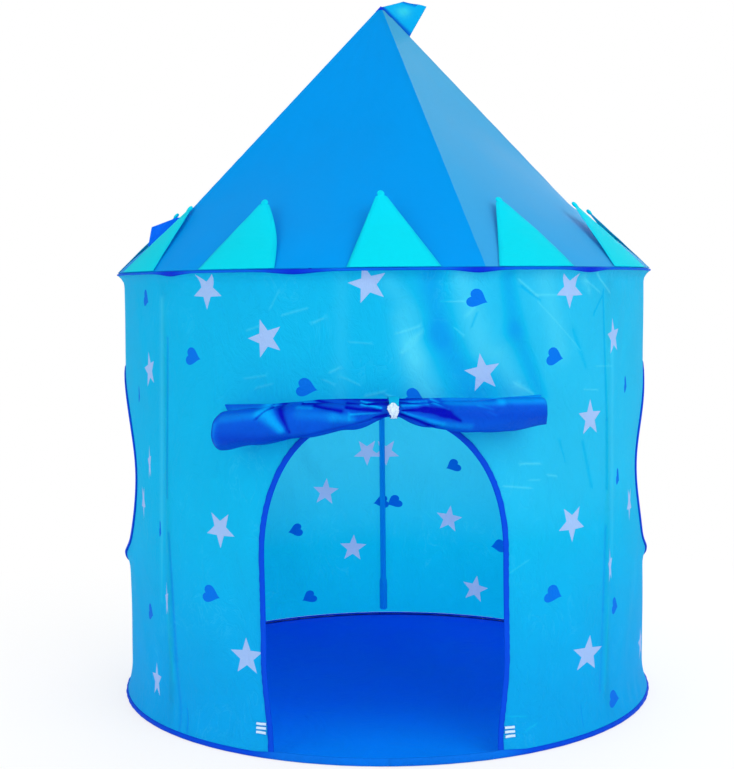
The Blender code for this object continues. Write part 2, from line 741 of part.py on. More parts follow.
def add_roof_poles():
    """A pole under each ridge, from a pocket at the eave to a socket of the hub."""
    bore = ROOF_POLE_RADIUS + GAP
    for name, azimuth in zip(("left", "front", "right", "rear"), RIDGE_AZIMUTHS):
        foot, top = roof_pole_line(azimuth)
        along = (top - foot).normalized()
        end = top - along * (HUB_BORE_START + GAP)
        rod(name + "_roof_pole", foot, end, ROOF_POLE_RADIUS, ROOF_POLE_SIDES, "fibreglass")
        mouth = foot + along * (ROOF_POCKET_DEPTH - GAP)
        pocket = name + "_roof_pocket"
        cup(pocket, mouth, along, bore, ROOF_POCKET_CLOTH, ROOF_POCKET_DEPTH, "binding_tape")
    add_hub(bore)


def add_hub(bore):
    """The hub under the apex: four arms out of one boss, each with a socket for its roof pole."""
    _, top = roof_pole_line(RIDGE_AZIMUTHS[0])
    boss = (
        (0, -HUB_BOSS_DEPTH),
        (HUB_BOSS_RADIUS, -HUB_BOSS_DEPTH),
        (HUB_BOSS_RADIUS, -HUB_BOSS_RADIUS / 2),
        (HUB_BOSS_RADIUS / 2, 0),
        (0, 0),
    )
    hub = lathe("apex_hub", boss, HUB_SIDES, Matrix.Translation(top), "hub_plastic")
    arms = []
    cutters = []
    for name, azimuth in zip(("left", "front", "right", "rear"), RIDGE_AZIMUTHS):
        foot, _ = roof_pole_line(azimuth)
        along = (foot - top).normalized()
        root = top + along * HUB_ARM_START
        end = top + along * HUB_ARM_LENGTH
        arms.append(rod("hub_arm_" + name, root, end, bore + HUB_ARM_WALL, HUB_SIDES, "hub_plastic"))
        root = top + along * HUB_BORE_START
        end += along * HUB_BORE_START
        cutters.append(rod("hub_bore_" + name, root, end, bore, HUB_SIDES, "hub_plastic"))
    for operation, helpers in (("UNION", arms), ("DIFFERENCE", cutters)):
        for helper in helpers:
            step = hub.modifiers.new(helper.name, "BOOLEAN")
            step.operation = operation
            step.object = helper
            helper.hide_render = True
            helper.display_type = "WIRE"


# Crown points, flag and tab

def add_crown_points():
    """Twelve cloth points that stand on the eave and lean in over the roof. Each hinges on its sewn foot."""
    slope = math.atan2(APEX_HEIGHT - ROOF_BOTTOM, ROOF_SEAT_RADIUS)
    for number in range(CROWN_COUNT):
        lean = slope + math.radians(CROWN_LIFT if number else FRONT_CROWN_LIFT)
        azimuth = number * 360 / CROWN_COUNT + CROWN_TURNS[number]
        side = tangent(azimuth)
        outward = at(1, azimuth, 0)
        up = Vector((0, 0, 1))
        along = up * math.sin(lean) - outward * math.cos(lean)
        face = up * math.cos(lean) + outward * math.sin(lean)
        rings = []
        for share, wide, thick in zip(CROWN_ROW_SHARES, CROWN_WIDTH_SHARES, CROWN_THICK_SHARES):
            front = []
            back = []
            for i in range(CROWN_COLUMNS + 1):
                s = CROWN_HALF_WIDTH * wide * (2 * i / CROWN_COLUMNS - 1)
                reach = math.sqrt(CROWN_RADIUS * CROWN_RADIUS - s * s)
                middle = outward * reach + side * s + up * CROWN_FOOT + along * (share * CROWN_LENGTH)
                middle += side * (share * CROWN_SKEWS[number])
                front.append(middle + face * (thick * CLOTH / 2))
                back.append(middle - face * (thick * CLOTH / 2))
            rings.append(front + back[::-1])
        hinge = outward * CROWN_RADIUS + up * CROWN_FOOT
        sweep("crown_point_%02d" % (number + 1), rings, "crown_cloth", origin=hinge)


def fin(name, azimuth, outline, step, wave, origin, material):
    """A cloth fin that stands out from the roof in an upright plane through the tent's axis.

    Its first edge is the sewn one. The rest of it waves to either side of the plane.
    """
    side = tangent(azimuth)
    foot, toe = outline[:2]
    loop = []
    for a, b in zip(outline, outline[1:] + outline[:1]):
        loop += divided(a, b, step)
    low_u = min(p.x for p in loop)
    high_u = max(p.x for p in loop)
    low_v = min(p.y for p in loop)
    high_v = max(p.y for p in loop)
    grid = []
    for i in range(1, math.ceil((high_u - low_u) / step)):
        for j in range(1, math.ceil((high_v - low_v) / step)):
            grid.append(Vector((low_u + i * step, low_v + j * step)))

    def place(u, v, out):
        rise = v - foot.y - (toe.y - foot.y) * (u - foot.x) / (toe.x - foot.x)
        bend = wave * ease(rise / (high_v - low_v)) * math.sin(2 * math.pi * (u - low_u) / (high_u - low_u))
        return at(u, azimuth, v) + side * (out + bend)

    cloth_panel(name, loop, [], [], grid, step * CLEAR_SHARE, place, CLOTH, material, origin)


def ridge_height(reach):
    return APEX_HEIGHT - reach * (APEX_HEIGHT - ROOF_BOTTOM) / ROOF_SEAT_RADIUS


def flag_foot():
    """How far above the ridge the flag's sewn edge lies, over the apex tape."""
    _, outward, _ = roof_slope()
    return (BINDING_CLOTH + 4 * GAP) / outward


def add_flag():
    azimuth = RIDGE_AZIMUTHS[FLAG_RIDGE]
    lift = flag_foot()
    start = Vector((CLOTH, ridge_height(CLOTH) + lift))
    outline = [
        start,
        Vector((FLAG_BASE_REACH, ridge_height(FLAG_BASE_REACH) + lift)),
        Vector((FLAG_REACH, APEX_HEIGHT)),
        Vector((FLAG_REACH / 2, APEX_HEIGHT + FLAG_RISE)),
    ]
    hinge = at(start.x, azimuth, start.y)
    fin("top_flag", azimuth, outline, FLAG_STEP, FLAG_WAVE, hinge, "flag_cloth")


def roof_reach(azimuth, height):
    """How far the roof's outer face is from the tent's axis."""
    point = roof_point(azimuth, (APEX_HEIGHT - height) / (APEX_HEIGHT - ROOF_BOTTOM))
    return math.hypot(point.x, point.y)


def add_tab():
    """A small cloth tab on the left of the roof, behind the crown points."""
    low = Vector((roof_reach(TAB_AZIMUTH, TAB_LOW) + CLOTH, TAB_LOW))
    high = Vector((roof_reach(TAB_AZIMUTH, TAB_HIGH) + CLOTH, TAB_HIGH))
    corner = low + Vector((TAB_CORNER_REACH, TAB_CORNER_RISE))
    crest = high + Vector((TAB_CREST_REACH, 0))
    fin("left_tab", TAB_AZIMUTH, [high, low, corner, crest], TAB_STEP, 0.0, None, "floor_cloth")


# Door curtain

def profile_at(x):
    """The roll's radius and the height of its top at a distance to the right of the door's middle."""
    share = x / (ROLL_RIGHT if x > 0 else ROLL_LEFT)
    share = min(1.0, max(-1.0, share))
    for (a, wide_a, dip_a), (b, wide_b, dip_b) in zip(ROLL_PROFILE_SHARES, ROLL_PROFILE_SHARES[1:]):
        if a <= share <= b:
            t = ease((share - a) / (b - a))
            wide = wide_a + (wide_b - wide_a) * t
            dip = dip_a + (dip_b - dip_a) * t
    return ROLL_RADIUS * wide, ROLL_TOP - ROLL_RADIUS * dip


def roll_frame(x):
    """The roll's middle, its outward direction and its radius at x."""
    radius, top = profile_at(x)
    bend = math.sqrt(ROLL_BEND_RADIUS * ROLL_BEND_RADIUS - x * x)
    middle = Vector((x, ROLL_BEND_RADIUS - ROLL_REACH - bend, top - radius))
    outward = Vector((x, -bend, 0)).normalized()
    return middle, outward, radius


def roll_stations():
    """Places along the roll, closer together at the tie."""
    left = [-ROLL_LEFT + (ROLL_LEFT + TIE_PLACE - TIE_HALF_WIDTH) * i / (ROLL_STATIONS // 2)
            for i in range(ROLL_STATIONS // 2 + 1)]
    right = [TIE_PLACE + TIE_HALF_WIDTH + (ROLL_RIGHT - TIE_PLACE - TIE_HALF_WIDTH) * i / (ROLL_STATIONS // 2)
             for i in range(ROLL_STATIONS // 2 + 1)]
    return left + right


def roll_radius(x, radius, angle):
    """The roll's outer radius at an angle, drawn into lobes beside the tie."""
    near = ease(1 - abs(x - TIE_PLACE) / (ROLL_LEFT / 2))
    flat = ease(1 - abs(x - TIE_PLACE) / (4 * TIE_HALF_WIDTH))
    return radius * (1 + ROLL_LOBE_SHARE * near * (1 - flat) * math.cos(ROLL_LOBES * angle))


def add_curtain():
    """The curtain as one strip of cloth wound on itself, from its free outer edge to its core."""
    count = round(ROLL_TURNS * ROLL_STEPS_PER_TURN)
    start = math.radians(ROLL_START_ANGLE)
    up = Vector((0, 0, 1))
    rings = []
    for x in roll_stations():
        middle, outward, radius = roll_frame(x)
        outer = []
        inner = []
        for i in range(count + 1):
            angle = start + 2 * math.pi * ROLL_TURNS * i / count
            wound = 1 - (1 - ROLL_CORE_SHARE) * i / count
            reach = roll_radius(x, radius, angle) * wound
            ray = outward * math.cos(angle) + up * math.sin(angle)
            outer.append(middle + ray * reach)
            inner.append(middle + ray * (reach - ROLL_CLOTH_SHARE * radius))
        rings.append(outer + inner[::-1])
    middle, _, _ = roll_frame(TIE_PLACE)
    sweep("door_curtain", rings, "curtain_cloth", origin=middle)


def add_curtain_strip():
    """The top of the curtain, from its seam on the wall to the roll."""
    start = math.radians(ROLL_START_ANGLE)
    up = Vector((0, 0, 1))
    rings = []
    for x in roll_stations():
        middle, outward, radius = roll_frame(x)
        reach = roll_radius(x, radius, start) - ROLL_CLOTH_SHARE * radius / 2
        ray = outward * math.cos(start) + up * math.sin(start)
        end = middle + ray * reach
        seam = wall_point(WALL_RADIUS * math.asin(x / WALL_RADIUS), CURTAIN_SEAM, CLOTH + GAP)
        way = (end - seam).normalized()
        end -= way * (GAP + ROLL_CLOTH_SHARE * radius)
        if abs(x - TIE_PLACE) < TIE_HALF_WIDTH + 2 * GAP:
            end -= way * (TIE_ROOM + TIE_CORD + GAP)
        across = way.cross(outward.cross(up)).normalized() * (CLOTH / 2)
        seam += way * (CLOTH / 2)
        rings.append([seam + across, end + across, end - across, seam - across])
    sweep("curtain_top_strip", rings, "curtain_cloth")


def add_tie():
    """The cord that ties the roll at its middle, swollen to a knot in front."""
    middle, outward, radius = roll_frame(TIE_PLACE)
    up = Vector((0, 0, 1))
    side = outward.cross(up)
    bore = radius + TIE_ROOM
    rings = []
    for i in range(TIE_STEPS):
        angle = 2 * math.pi * i / TIE_STEPS
        away = min(angle, 2 * math.pi - angle)
        knot = ease(1 - away / math.radians(KNOT_ANGLE))
        thick = TIE_CORD + TIE_KNOT * knot
        ray = outward * math.cos(angle) + up * math.sin(angle)
        half = TIE_HALF_WIDTH
        ring = []
        for s, q in TIE_SECTION_SHARES:
            ring.append(middle + side * (s * half) + ray * (bore + q * thick))
        rings.append(ring)
    sweep("curtain_tie", rings, "tie_cord", closed=True)


def main():
    for old in list(bpy.data.objects):
        bpy.data.objects.remove(old)
    add_hoops()
    add_ground_sheet()
    add_walls()
    add_door_tapes()
    add_wall_poles()
    add_roof_panels()
    add_apex_tape()
    add_roof_poles()
    add_crown_points()
    add_flag()
    add_tab()
    add_curtain()
    add_curtain_strip()
    add_tie()


main()
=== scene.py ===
"""Looks for the kids play tent: cloth, tape, poles and light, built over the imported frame.

The origin is the middle of the ground sheet's underside. +Z is up, the door faces -Y, and +X is to the
right of someone who looks at the door. Azimuth 0 is the door, 90 the right side and 180 the back, and an
arc is a length along the wall from azimuth 0. Lengths are in metres and angles in degrees.
"""

import functools
import math
import random

import bpy
import numpy as np
from mathutils import Matrix, Vector
from mathutils.geometry import delaunay_2d_cdt
from mathutils.kdtree import KDTree


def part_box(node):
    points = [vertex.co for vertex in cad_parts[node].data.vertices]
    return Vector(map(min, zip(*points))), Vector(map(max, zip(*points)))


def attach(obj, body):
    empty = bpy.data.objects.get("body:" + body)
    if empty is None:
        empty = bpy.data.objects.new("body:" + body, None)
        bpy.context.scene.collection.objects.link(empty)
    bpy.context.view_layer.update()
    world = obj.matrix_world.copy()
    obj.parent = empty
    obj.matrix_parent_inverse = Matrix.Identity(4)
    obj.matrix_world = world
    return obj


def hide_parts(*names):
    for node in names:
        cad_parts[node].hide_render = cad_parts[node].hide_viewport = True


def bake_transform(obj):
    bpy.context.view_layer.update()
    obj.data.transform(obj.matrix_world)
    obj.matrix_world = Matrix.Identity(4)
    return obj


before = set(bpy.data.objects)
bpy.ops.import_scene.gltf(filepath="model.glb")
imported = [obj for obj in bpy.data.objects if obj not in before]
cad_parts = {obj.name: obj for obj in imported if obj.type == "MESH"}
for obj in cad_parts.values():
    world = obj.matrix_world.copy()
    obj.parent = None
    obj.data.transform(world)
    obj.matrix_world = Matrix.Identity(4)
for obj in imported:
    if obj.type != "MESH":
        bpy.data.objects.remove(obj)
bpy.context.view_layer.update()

UP = np.array([0.0, 0.0, 1.0])
CLOTH = 0.0015  # the thickness of the frame's cloth
GAP = 0.0003  # between two pieces that are sewn together

# Wall
HOOP_RADIUS = 0.524
WALL_RADIUS = 0.5135
WALL_SEAT_RADIUS = 0.52325  # where the flared cloth meets the hems
WALL_BOTTOM = 0.0093
WALL_TOP = 0.8237
EAVE_TUCK = 0.0015  # how far the cloth reaches up behind the eave hem
BASE_FLARE = 0.055
EAVE_FLARE = 0.018
SEAM_AZIMUTHS = (-50.0, 50.0, 180.0)
SEAM_RIDGE = 0.0016
SEAM_RIDGE_WIDTH = 0.0055
HELD_BAND = 0.02  # beside the hems, where no fold shows
FOLD_DEPTH = 0.0022
FOLD_PITCH = 0.26
FOLD_SLANT_SHARE = 0.8
PUCKER_DEPTH = 0.0009
PUCKER_REACHES = (0.035, 0.045)  # below the eave and above the floor
CREASE_RUN_OUT = 0.12
CREASE_EASE = 0.25
# Painted shade low on the wall, and painted light on its right side and at its back
LOW_SHADE = -0.55
RIGHT_LIGHT = 0.20
BACK_LIGHT = 0.40
WALL_SPACING = 0.009  # between mesh points
WALL_FACETS = 60  # round the frame's wall
TRIANGLE_MERGE = 1e-6
NORMAL_STEP = 0.0006

# Long soft creases: the (arc, height) of both ends, the half width and the depth
LONG_CREASES = (
    ((0.05, 0.815), (0.185, 0.60), 0.030, 0.0020), ((0.22, 0.815), (0.305, 0.60), 0.022, 0.0016),
    ((0.13, 0.80), (0.06, 0.64), 0.018, 0.0014), ((0.30, 0.79), (0.40, 0.70), 0.016, 0.0022),
    ((-0.06, 0.78), (-0.16, 0.64), 0.020, 0.0018), ((-0.33, 0.80), (-0.26, 0.62), 0.030, 0.0016),
    ((0.26, 0.58), (0.38, 0.40), 0.024, 0.0022), ((0.30, 0.42), (0.27, 0.12), 0.026, 0.0020),
    ((-0.27, 0.52), (-0.38, 0.34), 0.024, 0.0018), ((-0.30, 0.34), (-0.27, 0.10), 0.022, 0.0016),
    ((0.52, 0.80), (0.47, 0.60), 0.020, 0.0024), ((0.60, 0.30), (0.52, 0.10), 0.024, 0.0022),
    ((-0.56, 0.80), (-0.50, 0.60), 0.022, 0.0020), ((-0.62, 0.30), (-0.52, 0.10), 0.024, 0.0020),
    ((1.45, 0.70), (1.20, 0.40), 0.034, 0.0044), ((1.58, 0.48), (1.36, 0.18), 0.032, 0.0040),
    ((1.28, 0.80), (1.06, 0.62), 0.028, 0.0030), ((-1.22, 0.72), (-1.44, 0.44), 0.034, 0.0040),
    ((-1.36, 0.50), (-1.56, 0.20), 0.032, 0.0040), ((-1.10, 0.80), (-1.24, 0.66), 0.026, 0.0028),
)

# Door and windows
DOOR_MIDDLE = -0.010
DOOR_HALF_WIDTH = 0.209
DOOR_SPRING_HEIGHT = 0.340
DOOR_RISE = 0.250
DOOR_ROUNDNESS = 2.2
DOOR_FOOT_SLANT = 0.018
DOOR_FOOT_SLANT_FROM = 0.160
WINDOW_AZIMUTH = 90.0
WINDOW_HEIGHT = 0.452
WINDOW_RADIUS = 0.195
WINDOW_SAG = 0.0050
WINDOW_SAG_HEIGHT = 0.46
WINDOW_SAG_REACH = 0.08
WINDOW_FLARE = 0.0065
WINDOW_FLARE_HEIGHT = 0.285
WINDOW_FLARE_REACH = 0.020
WINDOW_PULL_REACH = 0.028
TAPE_LAP = 0.0085  # how far the binding reaches onto the wall
TAPE_STEP = 0.006
TAPE_WAVE = 0.0004
DOOR_TAPE_OUT = 0.0020
WINDOW_TAPE_OUT = 0.0030
BAR_FEET = (("left", -1, 0.0385), ("right", 1, 0.0310))
BAR_PITCH = 0.0074
BAR_LENGTH = 0.0185
BAR_FROM_DOOR = 0.0087
BAR_SLANT_SHARE = 0.75
BAR_WAVE = 0.0004
BAR_SECTION = ((0.0, 0.0014), (0.0006, 0.0026), (0.0024, 0.0029), (0.0042, 0.0026), (0.0048, 0.0014))

# Hems and ground sheet, with the azimuths and widths of the places where the eave hem hangs lower
EAVE_HEIGHT = 0.827
HEM_HALF_HEIGHT = 0.0045
EAVE_HEM_HALF_HEIGHT = 0.0022
HEM_HALF_DEPTH = 0.0029
HEM_SPREAD = 168  # degrees either side of the hem's outermost line
HEM_PUCKERS = (0.00035, 0.0003)
HEM_DROOP = 0.0028
HEM_DROOP_TONE = -460.0  # for each metre that it hangs lower
HEM_DROOPS = ((-45.7, 3.5), (-17.0, 4.5), (16.7, 3.5), (42.0, 3.8), (100.0, 5.0), (180.0, 5.0), (199.5, 5.0))
HEM_DOOR_RISE = 0.0055
HEM_DOOR_AZIMUTHS = (28.0, 20.0)  # from no rise to all of it
HEM_DOOR_TONE = 0.55
EAVE_HEM_TONE = 0.35
GROUND_RADIUS = 0.5214
GROUND_LIFT = 0.0026  # of the cloth's upper face above the floor
GROUND_FOLD = 0.0011
GROUND_SLACK = 0.0012

# Roof
APEX_HEIGHT = 1.354
ROOF_BOTTOM = 0.8303
ROOF_DROP = APEX_HEIGHT - ROOF_BOTTOM
RIDGE_LENGTH = math.hypot(HOOP_RADIUS, ROOF_DROP)
RIDGE_AZIMUTHS = (-61.0, 18.0, 100.0, 199.5, 299.0)  # the last is the first, a whole turn on
# The roof panels, each with how much painted sheen and light it has at the apex and at the eave
ROOF_PANELS = (  # with how light each one is at the apex and at the eave
    ("roof_front", 0.0, 0.0), ("roof_right", 0.98, 0.52), ("roof_rear", 0.0, 0.0), ("roof_left", 0.0, 0.0),
)
ROUND_FROM_SHARE = 0.4
ROUND_AREA_SHARE = 1.12  # a panel's area beside that of a flat triangle
WELT = 0.0012  # the ridge where two panels are sewn together
WELT_WIDTH = 0.004
ROOF_SAG = 0.0022
ROOF_GATHER = 0.0010
ROOF_PULL = 0.0006
ROOF_PULL_WIDTH = 0.03
APEX_TAPE_OUT = 0.0017
APEX_TAPE_EDGE_OUT = 0.0009
APEX_TIP_OUT = 0.0016
APEX_TAPE_REACH = 0.010
APEX_TAPE_TONE = -0.7
APEX_LEGS = (0.006, 0.001, 0.0205, 0.0205, 0.006)
APEX_LEG_WIDTH = 13.0

# Crown points: the leans, turns, skews and bulges are in the order of the points' numbers
CROWN_HALF_WIDTH = 0.0775
CROWN_LENGTH = 0.166
CROWN_RADIUS = 0.5258
CROWN_FOOT = 0.83105
CROWN_LIFTS = (6.1, 1.3, 1.0, 0.3, 1.3, 1.3, 1.3, 1.3, 1.3, 0.3, 1.0, 1.3)
CROWN_TURNS = (1.2, -0.9, -1.3, 0.0, 0.0, 0.6, 0.0, -0.7, 0.0, 0.0, 0.0, 0.8)
CROWN_SKEWS = (-0.018, -0.006, -0.008, 0.0, 0.004, 0.0, -0.005, 0.0, 0.006, 0.0, 0.0, -0.009)
CROWN_BULGES = (0, 0.005, 0.004, 0, 0, 0, 0, 0, 0, 0, 0, 0.011)
CROWN_SHOULDER = 0.0042
CROWN_TIP = 0.0012
CROWN_BOW = 0.0012
CROWN_RIPPLE = 0.0007
CROWN_CURL = 0.0040
CROWN_HALF_THICKNESS = 0.0008
CROWN_HEM_WIDTH = 0.0022
CROWN_HEM_TONE = -0.35
CROWN_STITCH_PLACE = 0.0045
CROWN_STITCH_WIDTH = 0.0012
CROWN_STITCH_TONE = -0.25
CROWN_SEED = 5
KNOB_SHARE = 0.962
KNOB_SPAN_SHARE = 0.040
KNOB_RADIUS = 0.0062
KNOB_HALF_THICKNESS = 0.0026
CROWN_SHARES = np.unique(np.concatenate([
    np.linspace(0.0, 0.09, 10), np.linspace(0.09, 0.9, 23), np.linspace(0.9, 1.0, 15)]))
CROWN_COLUMNS = 25

# Flag and tab: each has its sewn edge on the roof and waves in an upright plane. A corner or a crest is a
# distance from the tent's axis and a height
FIN_THICKNESS = 0.0014
FIN_EDGE_SHARE = 0.35
FIN_POINTS = 26
FLAG_AZIMUTH = 100.0
FLAG_START = 0.0015
FLAG_BASE_REACH = 0.058
FLAG_CORNER = (0.093, APEX_HEIGHT + 0.003)
FLAG_CREST = (0.046, APEX_HEIGHT + 0.012)
FLAG_LIFT = 0.0008
FLAG_WAVE = 0.003
TAB_AZIMUTH = -80.0
TAB_LOW = 0.881
TAB_HIGH = 0.941
TAB_CORNER = (-0.008, 0.039)  # from the sewn edge's lower end
TAB_CREST = (0.025, -0.003)  # from its upper end
TAB_WAVE = 0.0015
TAB_TONE = 0.3

# Curtain: for shares of the roll's half length, its radius and how far its top dips, as shares of ROLL_RADIUS
CURTAIN_SEAM = 0.615
CURTAIN_TRAVEL = 0.46
# How far the whole roll is taken towards its painted-shade colour
CURTAIN_TONE = -0.12
ROLL_RADIUS = 0.0375
ROLL_LEFT = 0.275
ROLL_RIGHT = 0.252
ROLL_TOP = 0.617
ROLL_REACH = 0.552
ROLL_BEND_RADIUS = 0.70
ROLL_START_ANGLE = 140.0
ROLL_TURNS = 4.5
ROLL_OUTER_TURNS = 1.1
ROLL_WOUND_SHARE = 0.74  # how much smaller the innermost turn is
ROLL_INSET_SHARE = 0.02
ROLL_CLOTH = 0.0006  # the thickness of the cloth in the roll
LEFT_END = (-0.20, -0.27)  # between which x the roll's end takes on its own shape
RIGHT_END = (0.21, 0.25)
LEFT_TOP_CUT = 0.013
RIGHT_FRONT_CUT = 0.0085
RIGHT_TOP_CUT = 0.009
ROLL_PROFILE = (
    (-1.00, 1.00, 0.40),
    (-0.80, 0.95, 0.24),
    (-0.50, 0.87, 0.00),
    (-0.22, 0.62, 0.10),
    (0.028, 0.38, 0.01),
    (0.24, 0.58, 0.12),
    (0.50, 0.76, 0.03),
    (0.80, 0.80, -0.05),
    (1.00, 0.66, 0.00),
)

# The curtain's sewn top: how far its seam hangs below a straight line at each x
SEAM_DROPS = (
    (-0.275, 0.0135), (-0.191, 0.0095), (-0.147, 0.005), (-0.114, 0.0013), (-0.08, 0.0), (0.10, 0.0),
    (0.18, 0.0033), (0.252, 0.001),
)
SEAM_OUT = 0.0012
SEAM_STEP = 0.0001
SEAM_RIGHT_SHIFT = 0.006
WALL_CLEARANCE = 0.0032
STRIP_GATHER = 0.0016
STRIP_SLACK = 0.0030

# Tie
TIE_PLACE = 0.008
TIE_CLEARANCE = 0.0016
TIE_BANDS = ((-0.0026, 0.0018), (0.0026, -0.0022))  # each band's place beside the middle, and its slant
TIE_BAND_WIDTH = 0.0064
TIE_BAND_OUT = 0.0006
TIE_TAPE_OUT = 0.0026
TIE_THICKNESS = 0.0010
TIE_TAPE_WIDTHS = (0.0205, 0.0145)
TIE_TAPE_ANGLES = (128.0, 10.0)
KNOT_MIDDLE = (0.0012, 0.0050, -0.0006)
KNOT_RADII = (0.0082, 0.0052, 0.0098)
RIBBON_SECTION = (  # shares of half the width and half the thickness
    (-1, -0.3), (-0.8, -1), (0, -1.1), (0.8, -1), (1, -0.3),
    (1, 0.3), (0.8, 1), (0, 1.1), (-0.8, 1), (-1, 0.3),
)

# Sleeves and pockets
SLEEVE_FOOT = 0.021
SLEEVE_HALF_WIDTH = 0.0052
SLEEVE_DEPTHS = (0.0056, 0.0061)
SLEEVE_WIDENING = 0.36
SLEEVE_SLACK = 0.0004
SLEEVE_ALLOWANCE = ((1.04, 0.0013), (1.27, 0.0011), (1.27, 0.0))
POCKET_SIZES = {  # radius and length
    "roof": (0.0043, 0.0272), "eave": (0.0057, 0.0315), "base": (0.0057, 0.0315),
}
POCKET_PROFILE = (  # shares of the radius and of the length
    (0.35, -0.5), (0.8, -0.49), (1.0, -0.44), (1.02, 0.2), (1.06, 0.40), (1.08, 0.46), (1.0, 0.5),
    (0.86, 0.49), (0.80, 0.40), (0.78, -0.30),
)
POCKET_SIDES = 24
HUB_DROP = 0.0082 * math.sqrt(2)  # from the apex to where the roof poles' middles meet

# The camera, fitted to the photograph, and the photograph's size in pixels
IMAGE_WIDTH = 734
IMAGE_HEIGHT = 769
FOCAL_PIXELS = 1348.26
CAMERA_PLACE = (-0.0349, -2.7235, 0.7931)
CAMERA_PITCH = 4.0
CAMERA_ROLL = 0.0099  # radians
SENSOR = 36.0
PIXELS_PER_METRE = 615.0  # at the front of the wall and of the roll

# Where the photograph shows the prints, in its pixels: each star's turn in degrees, and how narrow a print
# looks beside one on an even wall
FRONT_STARS = (
    (207, 290, 180, 1.0), (265.5, 338.5, 18, 1.0), (149.5, 370, 12, 0.62), (368, 284, 14, 1.0),
    (483, 373, 9, 1.0), (570, 289, 180, 1.0), (613, 337, 8, 0.62), (590, 418, 0, 1.0), (572, 523, 180, 1.0),
    (220, 529, 180, 1.0), (588, 654, -8, 1.3), (246.5, 657, 2, 1.0), (157, 680, 0, 0.58),
    (149.6, 463, 6, 0.22), (143.7, 501, 180, 0.30), (629, 503, 180, 0.38), (610, 566, 8, 0.24),
    (640.5, 643, 4, 0.9), (167, 600, 4, 0.16),
)
FRONT_HEARTS = (
    (146, 299, 0.6), (193, 357, 1.0), (307, 388, 1.0), (478, 299, 1.0), (555, 357, 1.0), (211.3, 594.7, 1.1),
    (554, 594.5, 1.08), (150.7, 612.5, 0.6), (625.5, 385, 0.32), (617.6, 477.5, 0.34), (614.9, 606, 0.62),
    (613.7, 698.5, 1.0), (160.5, 530, 0.22), (139, 395, 0.22), (414.5, 398, 0.9),
)
BACK_STARS = (
    (367, 452, 180), (386, 452, 180), (325.5, 492, 7), (353, 548, 4), (449, 519, 8), (475, 589, 10),
)
BACK_HEARTS = ((453, 466), (381, 502), (394, 502), (295.5, 530.5), (309, 597.5), (498, 546))
STAR_RADIUS = 0.0335
STAR_WAIST_SHARE = 0.42
HEART_RADIUS = 0.0158
HEART_TURN = 70.0
HEART_STRETCH = 1.28

# The scatter of prints where the photograph shows none
PRINT_SEED = 11
PRINT_TRIES = 4000
PRINT_SPACING = 0.155
PRINT_MARGINS = (0.05, 0.045)  # above the floor and below the eave
FRONT_VIEW_AZIMUTH = 78
BACK_VIEW_HALF_WIDTH = 0.30
BACK_VIEW_TOP = 0.60
